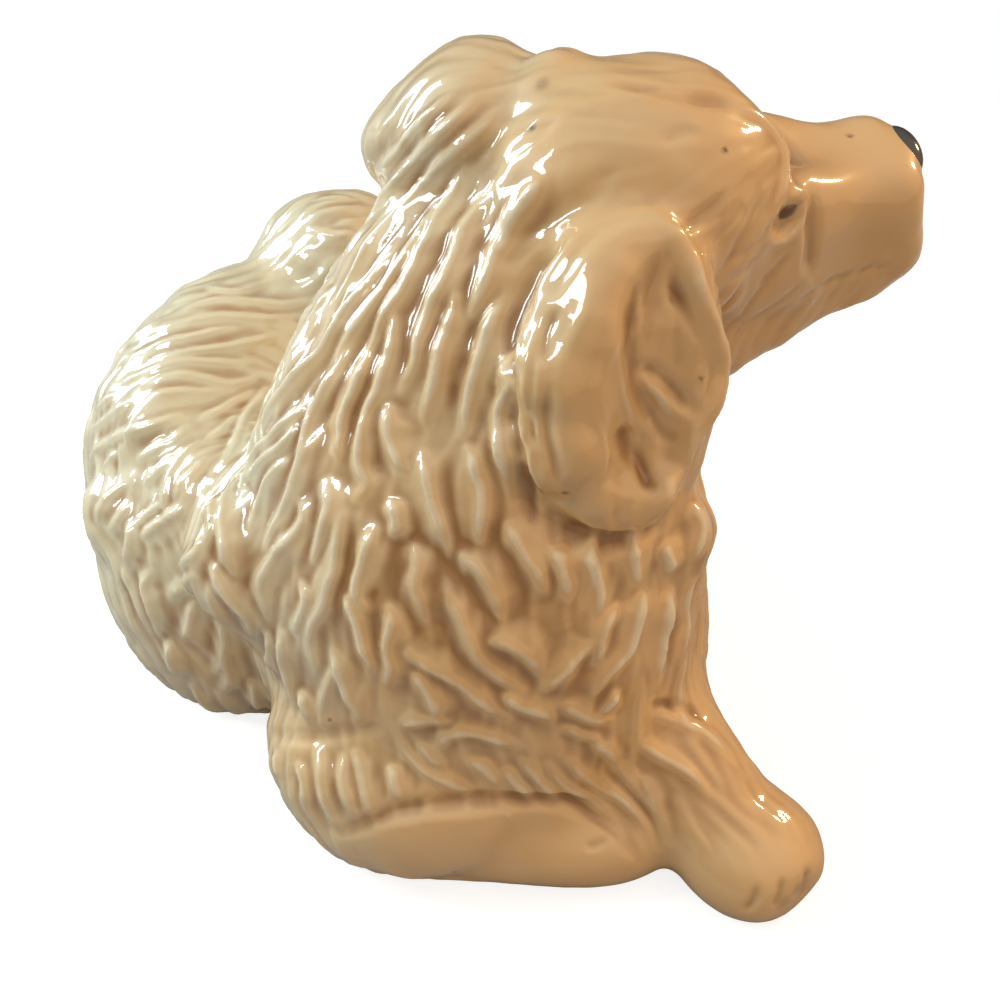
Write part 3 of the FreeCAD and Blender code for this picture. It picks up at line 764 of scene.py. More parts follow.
def square_muzzle(piece):
    """Squares the muzzle off into a blunt box and lowers the jaw under it."""
    skin = Skin(piece)
    turn = np.array(head_turn().to_matrix())
    local = (skin.points - np.array(HEAD_CENTRE)) @ turn / MM
    ahead, side, above = local.T.copy()
    near = (np.abs(side) < MUZZLE_SIDE) & (above > MUZZLE_HEIGHTS[0]) & (above < MUZZLE_HEIGHTS[1])
    share = eased(ahead, *SQUARE_AHEAD) * near
    part = np.stack((
        np.clip((ahead - MUZZLE_MIDDLE[0]) / MUZZLE_HALF[0], 0, None), (side - MUZZLE_MIDDLE[1]) / MUZZLE_HALF[1],
        (above - MUZZLE_MIDDLE[2]) / MUZZLE_HALF[2]), axis=1)
    round_size = np.sqrt((part ** 2).sum(axis=1))
    square_size = ((np.abs(part) ** 4).sum(axis=1)) ** 0.25
    squareness = SQUARENESS - ROUNDED_OFF * eased(above, *ROUND_ABOVE)
    factor = (round_size / np.maximum(square_size, 1e-6)) ** squareness
    swell = (part * (factor - 1)[:, None] * share[:, None]) * np.array(MUZZLE_HALF) * SWELL_SHARES
    jaw = (1 - eased(above, *JAW_ABOVE)) * eased(ahead, *JAW_AHEAD) * eased(above, *THROAT_ABOVE)
    drop = JAW_DROP * jaw * (np.abs(side) < JAW_SIDE)
    local = local + swell
    local[:, 2] -= drop + MUZZLE_DROP * eased(ahead, *MUZZLE_DROP_AHEAD) * near
    local[:, 0] += CHIN_FORWARD * (1 - eased(above, *CHIN_ABOVE)) * eased(ahead, *CHIN_AHEAD) * near
    skin.points = local * MM @ turn.T + np.array(HEAD_CENTRE)
    for place, radius, depth in DENTS:
        gap = gap_from(skin, head_place(place), radius)
        skin.points -= skin.normals * (depth * MM * dome(gap, 2))[:, None]
    over = skin.points[:, 1] - (FRONT_LIMIT - FRONT_EASE)
    skin.points[:, 1] -= np.where(over > 0, over - FRONT_EASE * np.tanh(over / FRONT_EASE), 0)
    skin.write()


def blend_joints(piece):
    """Rounds the joints of the fused castings, most on the body, and lets the round forms keep their size."""
    skin = Skin(piece)
    labels, names = casting_labels(skin)[:2]
    softness = np.array([SOFTNESS.get(name, 1.0) for name in names])[labels]
    softness = skin.spread(softness, 4)
    for _ in range(BLEND_ROUNDS):
        evened = skin.spread(skin.points, 1, 0.6)
        skin.points += (evened - skin.points) * softness[:, None]
    skin.write()
    gaps = casting_labels(skin)[2]
    outward = np.clip((gaps * skin.normals).sum(axis=1), 0, SWELL_LIMIT)
    outward = skin.spread(outward, 3)
    skin.points += skin.normals * (outward * SWELL_SHARE)[:, None]
    skin.write()


class LyingDogSizes(bpy.types.PropertyGroup):
    """Sizes and colours of the modelled dog."""
    fuse: bpy.props.FloatProperty(
        name="Fusing size", description="Grain of the clay while the castings are stuck together",
        default=1.3 * MM, min=0.5 * MM, unit="LENGTH")
    grain: bpy.props.FloatProperty(
        name="Finished grain", description="Grain of the finished clay surface",
        default=0.59 * MM, min=0.3 * MM, unit="LENGTH")
    crest: bpy.props.FloatVectorProperty(
        name="Crest glaze", description="Thin honey glaze on the crests",
        default=(0.78, 0.67, 0.48), size=3, subtype="COLOR")
    # Colour of the pooled glaze, which also lays the broad patches of painted shade
    pooling_and_painted_shading: bpy.props.FloatVectorProperty(
        name="Groove glaze", description="Glaze that has pooled in the grooves",
        default=(0.33, 0.165, 0.055), size=3, subtype="COLOR")


CLAY = "clay"


class DOG_OT_clay(bpy.types.Operator):
    """Sticks the castings together into one closed clay body"""
    bl_idname = "lying_dog.clay"
    bl_label = "Fuse the castings"

    def execute(self, context):
        sizes = context.scene.lying_dog
        pieces = [copy_of(node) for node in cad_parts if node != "base_plate"]
        for piece in pieces:
            if piece.name.startswith("left_ear"):
                piece.data.transform(Matrix.Translation(FAR_EAR_SHIFT))
        plate = copy_of("base_plate")
        plate.data.transform(Matrix.Translation((0, 0, BASE_LIFT)))
        pieces.append(plate)
        pieces.append(added(
            bpy.ops.mesh.primitive_cylinder_add, vertices=48, radius=VENT_PLUG_RADIUS * MM,
            depth=VENT_PLUG_THICKNESS * MM, location=[part * MM for part in VENT_PLUG_PLACE]))
        clay = joined(pieces, CLAY)
        apply_transform()
        tree = surface_tree(clay)
        look = camera_axes()[2]
        pads = [clay]
        for across, down, depth, radius in PADS:
            place = seen_at(tree, across, down)
            if place is None:
                raise RuntimeError(f"no clay at {across}, {down}")
            place = place + look * depth * MM
            pads.append(added(
                bpy.ops.mesh.primitive_ico_sphere_add, subdivisions=3, radius=radius * MM, location=place))
            apply_transform()
        clay = joined(pads, CLAY)
        finish_modifier(clay, "REMESH", mode="VOXEL", voxel_size=sizes.fuse, adaptivity=0)
        outer_clay(clay)
        blend_joints(clay)
        square_muzzle(clay)
        finish_modifier(clay, "REMESH", mode="VOXEL", voxel_size=sizes.grain, adaptivity=0)
        outer_clay(clay)
        finish_modifier(clay, "SMOOTH", factor=0.5, iterations=5)
        return {"FINISHED"}


def combed_field(skin, tree):
    """Direction of the hair at every point of the clay."""
    places, ways = [], []
    for start_x, start_y, end_x, end_y in COMBED_PIXELS:
        start = seen_at(tree, start_x, start_y)
        end = seen_at(tree, end_x, end_y)
        if start is None or end is None:
            continue
        places.append((start + end) / 2)
        ways.append((end - start).normalized())
    for place, way in COMBED_PLACES:
        places.append(Vector(place) * MM)
        ways.append(Vector(way).normalized())
    places = np.array(places)
    ways = np.array(ways)
    gaps = ((skin.points[:, None, :] - places[None]) ** 2).sum(axis=2)
    weights = np.exp(-gaps / (2 * WAY_REACH ** 2)) + FAR_WAY_SHARE / (gaps / FAR_WAY_REACH ** 2 + 1)
    field = (weights[:, :, None] * ways[None]).sum(axis=1)
    field -= (field * skin.normals).sum(axis=1, keepdims=True) * skin.normals
    field = unit(skin.spread(unit(field), 10))
    field -= (field * skin.normals).sum(axis=1, keepdims=True) * skin.normals
    return unit(field)


def smooth_line(places):
    """A finer line through given points, about a millimetre a step."""
    places = np.array(places)
    ends = np.vstack((2 * places[0] - places[1], places, 2 * places[-1] - places[-2]))
    line = []
    for i in range(1, len(ends) - 2):
        before, here, there, after = ends[i - 1], ends[i], ends[i + 1], ends[i + 2]
        steps = max(1, int(np.linalg.norm(there - here) / MM))
        for t in np.arange(steps)[:, None] / steps:
            line.append(0.5 * (
                2 * here + (there - before) * t + (2 * before - 5 * here + 4 * there - after) * t ** 2
                + (3 * here - before - 3 * there + after) * t ** 3))
    line.append(places[-1])
    return np.array(line)


def traced_line(tree, pixels):
    """A line over the clay through pixel places of the photograph, with its normals, or None."""
    places = [seen_at(tree, pixels[i], pixels[i + 1]) for i in range(0, len(pixels), 2)]
    places = [place for place in places if place is not None]
    runs, run = [], places[:1]
    for place in places[1:]:
        if (place - run[-1]).length > LONGEST_STEP:
            runs.append(run)
            run = []
        run.append(place)
    runs.append(run)
    longest = max(runs, key=len)
    return smooth_line(longest) if len(longest) > 1 else None


class Coat:
    """Heights pressed up and down on the clay by single strokes of a tool."""

    def __init__(self, skin, tree):
        self.skin = skin
        self.tree = tree
        self.up = np.zeros(len(skin.points))
        self.down = np.zeros(len(skin.points))
        self.shade = np.zeros(len(skin.points))
        self.near_traced = np.zeros(len(skin.points))

    def touched(self, line, half_width):
        """Points under a stroke: their distance, their share of the way along, and their side of it."""
        close = self.skin.near(line) if half_width <= self.skin.cell else np.flatnonzero(
            ((self.skin.points >= line.min(axis=0) - half_width)
             & (self.skin.points <= line.max(axis=0) + half_width)).all(axis=1))
        distance, share, nearest, gap = from_line(self.skin.points[close], line)
        normals = self.skin.normals[close]
        lean = np.array([self.tree.find_nearest(Vector(place))[1] for place in line[::4]])
        facing = (normals * lean[np.minimum(nearest // 4, len(lean) - 1)]).sum(axis=1)
        run = (line[1:] - line[:-1])[nearest]
        side = np.sign((np.cross(normals, run) * gap).sum(axis=1))
        inside = (distance < half_width) & (facing > LEAST_FACING)
        return close[inside], distance[inside], share[inside], side[inside]

    def crest(self, line, half_width, height, lap=1, steep=0.45, cover=False):
        """A raised lock with a broad and a steep side, which grows from its root and ends in a point."""
        close, distance, share, side = self.touched(line, half_width)
        broad_side = side * lap > 0
        leaf = tapered(share, *LEAF_TAPER)
        width = half_width * np.where(broad_side, 0.45 + 0.55 * leaf, steep)
        gap = np.clip(distance / width, 0, 1)
        ends = tapered(share, *HEIGHT_TAPER)
        body = (1 - gap) ** np.where(broad_side, BROAD_CURVE, STEEP_CURVE)
        edge = np.clip(1 - distance / np.minimum(EDGE_SHARE * half_width, BROADEST_EDGE), 0, 1)
        rise = height * (0.1 + 0.9 * ends) * ((1 - EDGE_HEIGHT) * body + EDGE_HEIGHT * edge)
        self.up[close] = np.maximum(self.up[close], rise)
        if cover:
            self.near_traced[close] = 1

    def crease(self, line, half_width, depth, shade=0.4):
        """A pressed groove with soft ends, in which some glaze pools."""
        close, distance, share, _ = self.touched(line, half_width)
        taper = tapered(share, *SOFT_TAPER)
        gap = distance / (half_width * (0.55 + 0.45 * taper))
        press = depth * (0.1 + 0.9 * taper) * dome(gap, 1.5)
        self.down[close] += press
        self.shade[close] += press * shade

    def ridge(self, line, half_width, height):
        """A soft rounded ridge."""
        close, distance, share, _ = self.touched(line, half_width)
        rise = height * tapered(share, *SOFT_TAPER) * dome(distance / half_width, 2)
        self.down[close] -= rise
        self.shade[close] -= rise * RIDGE_SHADE


def wavy_field(skin, field):
    """The hair's direction turned to and fro in waves that neighbouring locks share."""
    points = skin.points / MM
    wave = sum(np.sin(points @ np.array(way) + start) for way, start in WAVES)
    angle = (HAIR_WAVE * wave)[:, None]
    sideways = np.cross(skin.normals, field)
    return field * np.cos(angle) + sideways * np.sin(angle)


def grown_line(tree, place, length, field_at):
    """A line over the clay that follows the hair both ways from a place."""
    halves = []
    for sense in (-1, 1):
        here = Vector(place)
        line = []
        for _ in range(max(2, int(length / 2 / HAIR_STEP))):
            nearest, _, index, _ = tree.find_nearest(here)
            line.append(nearest.copy())
            here = nearest + Vector(field_at[index]) * (sense * HAIR_STEP)
        halves.append(line)
    return np.array(halves[0][::-1] + halves[1][1:])


def comb(coat, tree, values, field, field_at, free, seed, shares):
    """Fills the free places with seeded strokes along the hair; returns how many.

    The shares are of each casting's lock: its length, the room round it, its width and its height."""
    long, room, wide, high = shares
    skin = coat.skin
    chance = random.Random(seed)
    numbers = list(range(len(skin.points)))
    chance.shuffle(numbers)
    places = np.empty((MOST_STROKES, 3))
    taken = 0
    strokes = []
    for number in numbers[:TRIED_PLACES]:
        relief, half_width, length = values[number]
        if relief < LEAST_RELIEF or not free[number] or taken == len(places):
            continue
        length *= long
        place = skin.points[number]
        if taken:
            gap = (places[:taken] - place) / MM
            along = (gap * field[number]).sum(axis=1)
            across = (gap ** 2).sum(axis=1) - along ** 2
            if ((along / (0.5 * length)) ** 2 + across / (room * half_width) ** 2).min() < 1:
                continue
        places[taken] = place
        taken += 1
        line = grown_line(tree, place, length * chance.uniform(*LENGTH_RANGE) * MM, field_at)
        broad = min(BROADEST_LOCK, half_width * wide * chance.uniform(*WIDTH_RANGE)) * MM
        height = relief * high * chance.uniform(*HEIGHT_RANGE)
        strokes.append((line, broad, height, 1 if chance.random() < USUAL_LAP else -1))
    under = coat.up.copy()
    coat.up[:] = 0
    for line, broad, height, lap in strokes:
        coat.crest(line, broad, height, lap=lap)
    coat.up = np.maximum(under, coat.up) if high > LOW_STROKES else under + coat.up
    return taken


def lumpy(points, size):
    """Uneven rises and falls between -1 and 1, about one per size in millimetres."""
    chance = np.random.RandomState(int(size * 10))
    ways = unit(chance.normal(size=(LUMP_WAVES, 3)))
    ways = ways * chance.uniform(0.6, 1.5, size=(LUMP_WAVES, 1)) * 2 * math.pi / size
    turns = chance.uniform(0, 2 * math.pi, size=LUMP_WAVES)
    return np.clip(np.sin(points / MM @ ways.T + turns).sum(axis=1) / 4.0, -1, 1)


def in_outline(pixels, outline):
    """Which pixel places lie inside a closed outline of pixel places."""
    corners = np.array(outline, dtype=float).reshape(-1, 2)
    inside = np.zeros(len(pixels), dtype=bool)
    for (x1, y1), (x2, y2) in zip(corners, np.roll(corners, -1, axis=0)):
        if y1 == y2:
            continue
        crosses = (pixels[:, 1] < y1) != (pixels[:, 1] < y2)
        inside ^= crosses & (pixels[:, 0] < x1 + (pixels[:, 1] - y1) * (x2 - x1) / (y2 - y1))
    return inside


def smooth_shares(skin):
    """0 on the fields of the near side that the photograph shows smooth, 1 elsewhere."""
    right, up, look = (np.array(axis) for axis in camera_axes())
    gap = skin.points - np.array(camera_place())
    depth = gap @ look
    pixels = np.stack((
        PHOTO_SIDE / 2 + FOCAL_PIXELS * (gap @ right) / depth,
        PHOTO_SIDE / 2 - FOCAL_PIXELS * (gap @ up) / depth), axis=1)
    seen = (skin.normals * gap).sum(axis=1) < 0
    shares = np.ones(len(skin.points))
    for outline in SMOOTH_FIELDS:
        shares[in_outline(pixels, outline) & seen] = 0
    return skin.spread(shares, 4)


def head_place(place):
    """A place given ahead of, left of and above the middle of the skull, in millimetres."""
    return head_turn().to_matrix() @ (Vector(place) * MM) + HEAD_CENTRE


def sided(place, side):
    return (place[0], side * place[1], place[2])


def face_line(tree, places, side=1):
    """A line over the face through places near it, on the left or mirrored to the right."""
    return smooth_line([tree.find_nearest(head_place(sided(place, side)))[0] for place in places])


def press_eye(coat, side):
    """A shallow socket between two lids."""
    middle = coat.tree.find_nearest(head_place(sided(EYE_PLACE, side)))[0]
    gap = gap_from(coat.skin, middle, SOCKET_RADIUS)
    close = gap < 1
    coat.down[close] = np.maximum(coat.down[close], SOCKET_DEPTH * dome(gap[close], 1.2))
    for lid, height in ((UPPER_LID, UPPER_LID_HEIGHT), (LOWER_LID, LOWER_LID_HEIGHT)):
        coat.crest(face_line(coat.tree, lid, side), LID_HALF_WIDTH * MM, height, steep=LID_STEEP)


def mirrored_line(tree, line):
    """The same line on the other side of the head."""
    turn = head_turn().to_matrix()
    flipped = []
    for place in line:
        local = turn.transposed() @ (Vector(place) - HEAD_CENTRE)
        local.y = -local.y
        flipped.append(tree.find_nearest(turn @ local + HEAD_CENTRE)[0])
    return np.array(flipped)


def gap_from(skin, place, radius):
    """Distance of every point from a place, as a share of a radius in millimetres."""
    return np.linalg.norm(skin.points - np.array(place), axis=1) / (radius * MM)


def lift_off_base(skin):
    """Keeps the glazed skin inside the bare base where it lies over it."""
    tree = surface_tree(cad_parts["base_plate"])
    for i in np.flatnonzero(skin.points[:, 2] < PLATE_COVER):
        under = Vector((skin.points[i, 0], skin.points[i, 1], -MM))
        if tree.ray_cast(under, Vector((0, 0, 1)))[0] is not None:
            skin.points[i, 2] = PLATE_COVER


def press_strokes(coat):
    """Presses the traced creases and ridges, the brow, the mouth, the lids and the toes."""
    tree = coat.tree
    toe_creases = [(pixels, TOE_CREASE_HALF_WIDTH, TOE_CREASE_DEPTH) for pixels in TOE_CREASES]
    for stroke, table, settings in (
            (coat.crease, CREASES, {}), (coat.crease, EAR_CREASES, {"shade": EAR_SHADE}),
            (coat.ridge, EAR_CRESTS, {}), (coat.crease, toe_creases, {})):
        for pixels, half_width, height in table:
            stroke(traced_line(tree, pixels), half_width * MM, height, **settings)
    for stroke, table, usual, mirrored in (
            (coat.crease, PAIRED_CREASES, {}, {}),
            (coat.crest, PAIRED_CRESTS, {"steep": TRACED_STEEP}, {"steep": TRACED_STEEP, "lap": -1})):
        for pixels, half_width, height in table:
            line = traced_line(tree, pixels)
            stroke(line, half_width * MM, height, **usual)
            stroke(mirrored_line(tree, line), half_width * MM, height, **mirrored)
    for places, half_width, depth in MOUTH_CREASES:
        coat.crease(face_line(tree, places), half_width * MM, depth)
    for side in (-1, 1):
        press_eye(coat, side)


def lay_locks(coat, field, values, report):
    """Lays the traced locks, and fills the clay between them and over them along the hair."""
    for crests, half_width, height in TRACED_CRESTS:
        for pixels in crests:
            line = traced_line(coat.tree, pixels)
            if line is not None:
                lap = LAPS.get(pixels[:2], 1)
                coat.crest(line, half_width * MM, height, lap=lap, steep=TRACED_STEEP, cover=True)
    field_at = field[rows_of(coat.skin.mesh.polygons, "vertices", 4, np.int64)[:, 0]]
    untraced = coat.skin.spread(coat.near_traced, 2) < TRACED_EDGE
    for (seed, shares), free in zip(COMBED, (untraced, values[:, 0] > 0)):
        strokes = comb(coat, coat.tree, values, field, field_at, free, seed, shares)
        report({"INFO"}, f"{strokes} strokes combed")


def pooled_glaze(skin, height):
    """0 where the glaze is thinnest and 1 where it pools, from how low a place lies in its surroundings."""
    near, far = skin.spread(height, NEAR_ROUNDS), skin.spread(height, FAR_ROUNDS)
    return np.clip(0.5 + NEAR_POOLING * (near - height) + FAR_POOLING * (far - height), 0, 1)


def owners_of(skin, labels, names):
    """Which visual piece each point of the clay belongs to, with even borders."""
    groups = {name: i for i, group in enumerate(PIECES.values()) for name in group}
    groups.update(nose_pad=0, right_eye=0, left_eye=0)
    shares = np.eye(len(PIECES))[np.array([groups[name] for name in names])[labels]]
    return skin.spread(shares, BORDER_ROUNDS).argmax(axis=1)


class DOG_OT_coat(bpy.types.Operator):
    """Combs the locks of the coat into the clay"""
    bl_idname = "lying_dog.coat"
    bl_label = "Comb the coat"

    def execute(self, context):
        clay = bpy.data.objects[CLAY]
        skin = Skin(clay)
        labels, names = casting_labels(skin)[:2]
        tree = surface_tree(clay)
        field = wavy_field(skin, combed_field(skin, tree))
        values = skin.spread(np.array([COATS[name] for name in names])[labels], 8)
        values[:, 0] *= smooth_shares(skin)
        skin.sort_cells(STROKE_CELL)
        coat = Coat(skin, tree)
        lay_locks(coat, field, values, self.report)
        press_strokes(coat)
        down, shade = skin.spread(coat.down, 2, 0.5), skin.spread(coat.shade, 2, 0.5)
        height = skin.spread(coat.up, 3, 0.6) - down
        middle = skin.spread(values[:, 0], 10) * MIDDLE_SHARE
        pooling_and_painted_shading = pooled_glaze(skin, height + down - shade)
        rough = LEAST_ROUGH + (1 - LEAST_ROUGH) * np.clip(values[:, 0] / ROUGH_RELIEF, 0, 1)
        lumps = sum(rise * lumpy(skin.points, size) for size, rise in LUMPS) * rough
        raised = (height - middle + lumps) * MM
        skin.points = skin.points + skin.normals * raised[:, None]
        skin.points = np.clip(skin.points, np.array(CAD_BOX[0]), np.array(CAD_BOX[1]))
        lift_off_base(skin)
        skin.write()
        owner = owners_of(skin, labels, names)
        tree = surface_tree(clay)
        speck = np.zeros(len(skin.points))
        for across, down, radius, strength in SPECKS:
            gap = gap_from(skin, seen_at(tree, across, down), radius)
            speck = np.maximum(speck, strength * np.clip(SPECK_EDGE - SPECK_EDGE * gap, 0, 1))
        # Broad patches of painted shade and painted light, added to the pooled glaze
        for across, down, radius, amount in PAINTED_SHADE_AND_LIGHT:
            pooling_and_painted_shading += amount * dome(gap_from(skin, seen_at(tree, across, down), radius), 2)
        for stain, kind, stained in (("speck", "FLOAT", speck), ("pooling_and_painted_shading", "FLOAT", pooling_and_painted_shading), ("owner", "INT", owner)):
            clay.data.attributes.new(stain, kind, "POINT").data.foreach_set("value", stained)
        return {"FINISHED"}


def closed_part(name, points, normals, stains, faces):
    """A piece of the clay with the faces given, closed on the inside where it was cut off."""
    used, inverse = np.unique(faces, return_inverse=True)
    faces = inverse.reshape(faces.shape)
    points, normals = points[used], normals[used]
    count = len(points)
    starts = faces.ravel()
    ends = np.roll(faces, -1, axis=1).ravel()
    forward = starts * count + ends
    open_edges = ~np.isin(forward, ends * count + starts)
    starts, ends = starts[open_edges], ends[open_edges]
    rim, places = np.unique(np.concatenate((starts, ends)), return_inverse=True)
    first, second = places[:len(starts)], places[len(starts):]
    marks = joined_marks(len(rim), first, second)
    inner = points[rim] - normals[rim] * CUT_DEPTH
    loops, loop_of = np.unique(marks, return_inverse=True)
    middles = np.array([inner[loop_of == i].mean(axis=0) for i in range(len(loops))]).reshape(-1, 3)
    quads = np.stack((ends, starts, count + first, count + second), axis=1)
    fans = np.stack((count + second, count + first, count + len(rim) + loop_of[first]), axis=1)
    mesh = bpy.data.meshes.new(name)
    every = np.vstack((points, inner, middles))
    mesh.from_pydata(every.tolist(), [], faces.tolist() + quads.tolist() + fans.tolist())
    mesh.update()
    piece = placed(name, mesh)
    for stain, values in stains.items():
        values = values[used]
        values = np.concatenate((values, values[rim], np.zeros(len(middles))))
        mesh.attributes.new(stain, "FLOAT", "POINT").data.foreach_set("value", values)
    make_active(piece)
    bpy.ops.object.shade_smooth()
    held = np.vstack((normals, normals[rim], np.tile((0.0, 0.0, 1.0), (len(middles), 1))))
    mesh.normals_split_custom_set_from_vertices(held.tolist())
    return piece


class DOG_OT_part(bpy.types.Operator):
    """Parts the finished clay into the pieces that the castings stand for"""
    bl_idname = "lying_dog.part"
    bl_label = "Part the clay"

    def execute(self, context):
        clay = bpy.data.objects[CLAY]
        skin = Skin(clay)
        marks = clay.data.attributes
        stains = {stain: rows_of(marks[stain].data, "value", 1)[:, 0] for stain in ("pooling_and_painted_shading", "speck")}
        owner = rows_of(marks["owner"].data, "value", 1, np.int32)[:, 0]
        faces = rows_of(clay.data.polygons, "vertices", 4, np.int64)
        face_owner = owner[faces].max(axis=1)
        for number, (name, nodes) in enumerate(PIECES.items()):
            part = closed_part(name, skin.points, skin.normals, stains, faces[face_owner == number])
            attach(part, "root")
            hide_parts(*nodes)
        deselect_all()
        clay.select_set(True)
        bpy.ops.object.delete()
        return {"FINISHED"}


class DOG_OT_face(bpy.types.Operator):
    """Adds the enamelled eyes and nose"""
    bl_idname = "lying_dog.face"
    bl_label = "Enamel the face"

    def execute(self, context):
        clay = bpy.data.objects[CLAY]
        tree = surface_tree(clay)
        turn = head_turn()
        for side, name in ((1, "left_eye"), (-1, "right_eye")):
            middle, normal = tree.find_nearest(head_place(sided(EYE_PLACE, side)))[:2]
            eye = added(
                bpy.ops.mesh.primitive_uv_sphere_add, segments=48, ring_count=24, radius=EYE_RADIUS * MM,
                location=middle - normal * EYE_SINK * MM, rotation=turn)
            eye.name = name + "_enamel"
            bpy.ops.transform.resize(value=EYE_STRETCH, orient_type="LOCAL")
            apply_transform()
            bpy.ops.object.shade_smooth()
            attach(eye, "root")
            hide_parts(name)
        nose = added(
            bpy.ops.mesh.primitive_uv_sphere_add, segments=64, ring_count=40, radius=1 * MM,
            location=head_place(NOSE_PLACE), rotation=turn)
        nose.name = "nose_enamel"
        nose.scale = NOSE_HALF
        apply_transform()
        finish_modifier(nose, "SUBSURF", levels=1, render_levels=1)
        skin = Skin(nose)
        for side in (-1, 1):
            hole = np.array(head_place([a + b for a, b in zip(NOSE_PLACE, sided(NOSTRIL_SHIFT, side))]))
            hole = skin.points[np.linalg.norm(skin.points - hole, axis=1).argmin()]
            gap = gap_from(skin, hole, NOSTRIL_RADIUS)
            skin.points -= skin.normals * (dome(gap, 1) * NOSTRIL_DEPTH * MM)[:, None]
        skin.write()
        make_active(nose)
        bpy.ops.object.shade_smooth()
        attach(nose, "root")
        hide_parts("nose_pad")
        return {"FINISHED"}


class Wire:
    """A socket of a material, so that its maths can be written as Python."""

    def __init__(self, tree, socket):
        self.tree = tree
        self.socket = socket

    def maths(self, operation, *values):
        return node(self.tree, "Math", {"operation": operation}, dict(enumerate(values)))[0]

    def __add__(self, other):
        return self.maths("ADD", self, other)

    def __sub__(self, other):
        return self.maths("SUBTRACT", self, other)

    def __rsub__(self, other):
        return self.maths("SUBTRACT", other, self)

    def __mul__(self, other):
        return self.maths("MULTIPLY", self, other)


def node(tree, kind, settings, values):
    """A shader node with its settings and its sockets' values or links; returns its outputs as wires."""
    made = tree.nodes.new("ShaderNode" + kind)
    for name, value in settings.items():
        setattr(made, name, value)
    for name, value in values.items():
        socket = made.inputs[name]
        if isinstance(value, Wire):
            tree.links.new(value.socket, socket)
        elif hasattr(socket.default_value, "__len__") and len(socket.default_value) == 4 and len(value) == 3:
            socket.default_value = (*value, 1)
        else:
            socket.default_value = value
    return [Wire(tree, output) for output in made.outputs]


def mixed_tone(tree, amount, first, second, **settings):
    """Colours mixed by an amount, which is kept between 0 and 1."""
    return node(tree, "Mix", {"data_type": "RGBA", **settings}, {0: amount, 6: first, 7: second})[2]


def noise(tree, place, grain):
    return node(tree, "TexNoise", {}, {"Vector": place, "Scale": grain[0], "Detail": grain[1]})[0]


def grained(tree, height, strength):
    """A normal roughened by a noise."""
    return node(tree, "Bump", {}, {"Height": height, "Strength": strength, "Distance": GRAIN_DEPTH})[0]


def stain_of(tree, name):
    return node(tree, "Attribute", {"attribute_name": name}, {})[2]


def empty_tree(holder):
    """The node tree of a material or a world with nothing in it."""
    holder.use_nodes = True
    holder.node_tree.nodes.clear()
    return holder.node_tree


def new_material(name):
    """A material, its empty tree and the place on the object."""
    material = bpy.data.materials.new(name)
    tree = empty_tree(material)
    return material, tree, node(tree, "TexCoord", {}, {})[3]


def finish_material(tree, values):
    """Ends a material in one principled surface."""
    shader = node(tree, "BsdfPrincipled", {}, values)[0]
    node(tree, "OutputMaterial", {}, {"Surface": shader})


def honey_glaze(sizes):
    """Honey glaze over cream clay: pale on the crests, amber where it pooled, with specks and pinholes; with broad
    patches of painted shade and painted light, and painted light along X that is more amber towards the head and
    greener towards the rump.
    """
    material, tree, place = new_material("honey_glaze")
    pooling_and_painted_shading = stain_of(tree, "pooling_and_painted_shading")
    across = node(tree, "SeparateXYZ", {}, {0: place})[0]
    clouds, streaks = noise(tree, place, CLOUDS), noise(tree, place, STREAKS) - 0.5
    # Clouds thin the glaze at random; the term along X is painted light, warmer towards the head and greener towards
    # the rump
    thin_glaze_and_painted_tint = (clouds - 0.42) * 2.2 + (CREAM_BORDER - across) * 11.0
    body = mixed_tone(tree, thin_glaze_and_painted_tint, AMBER_BODY, CREAM_BODY)
    pale = mixed_tone(tree, (PALE_BELOW - pooling_and_painted_shading) * GROOVE_CONTRAST + streaks * 0.4, body, tuple(sizes.crest))
    # The pooled-glaze colour goes where glaze pools and on the patches of painted shade
    pooled = mixed_tone(tree, (pooling_and_painted_shading - POOLED_ABOVE) * GROOVE_CONTRAST + streaks * 0.8, pale, tuple(sizes.pooling_and_painted_shading))
    colour = mixed_tone(tree, stain_of(tree, "speck"), pooled, SPECK_BROWN)
    bump = grained(tree, noise(tree, place, DIMPLES), 0.12)
    finish_material(tree, {"Base Color": colour, "Normal": bump, "Coat Normal": bump, **GLAZE_SHEEN})
    return material


def enamel(name, colour):
    """Dark glossy enamel with brush marks."""
    material, tree, place = new_material(name)
    paler = tuple(min(1, channel * 2.2 + 0.01) for channel in colour)
    tone = mixed_tone(tree, noise(tree, place, BRUSH_MARKS) * 0.6, colour, paler)
    finish_material(tree, {"Base Color": tone, **ENAMEL_SHEEN})
    return material


def bare_clay():
    """Unglazed cream clay of the underside, with grit and a rubbed, dusty face."""
    material, tree, place = new_material("bare_clay")
    grit = noise(tree, place, GRIT)
    tone = mixed_tone(tree, noise(tree, place, DUST) * 0.7 + grit * 0.3, *CLAY_TONES)
    finish_material(tree, {"Base Color": tone, "Roughness": 0.85, "Normal": grained(tree, grit, 0.4)})
    return material


class DOG_OT_glaze(bpy.types.Operator):
    """Glazes the dog and leaves its underside bare"""
    bl_idname = "lying_dog.glaze"
    bl_label = "Glaze the dog"

    def execute(self, context):
        for names, material in (
                (PIECES, honey_glaze(context.scene.lying_dog)),
                (("left_eye_enamel", "right_eye_enamel"), enamel("eye_enamel", EYE_BROWN)),
                (("nose_enamel",), enamel("nose_enamel", NOSE_BLACK))):
            for name in names:
                bpy.data.objects[name].data.materials.append(material)
        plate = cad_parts["base_plate"]
        plate.data.materials.clear()
        plate.data.materials.append(bare_clay())
        return {"FINISHED"}


def facing_euler(way):
    """Turn of a camera or lamp that looks along a direction."""
    return way.to_track_quat("-Z", "Y").to_euler()


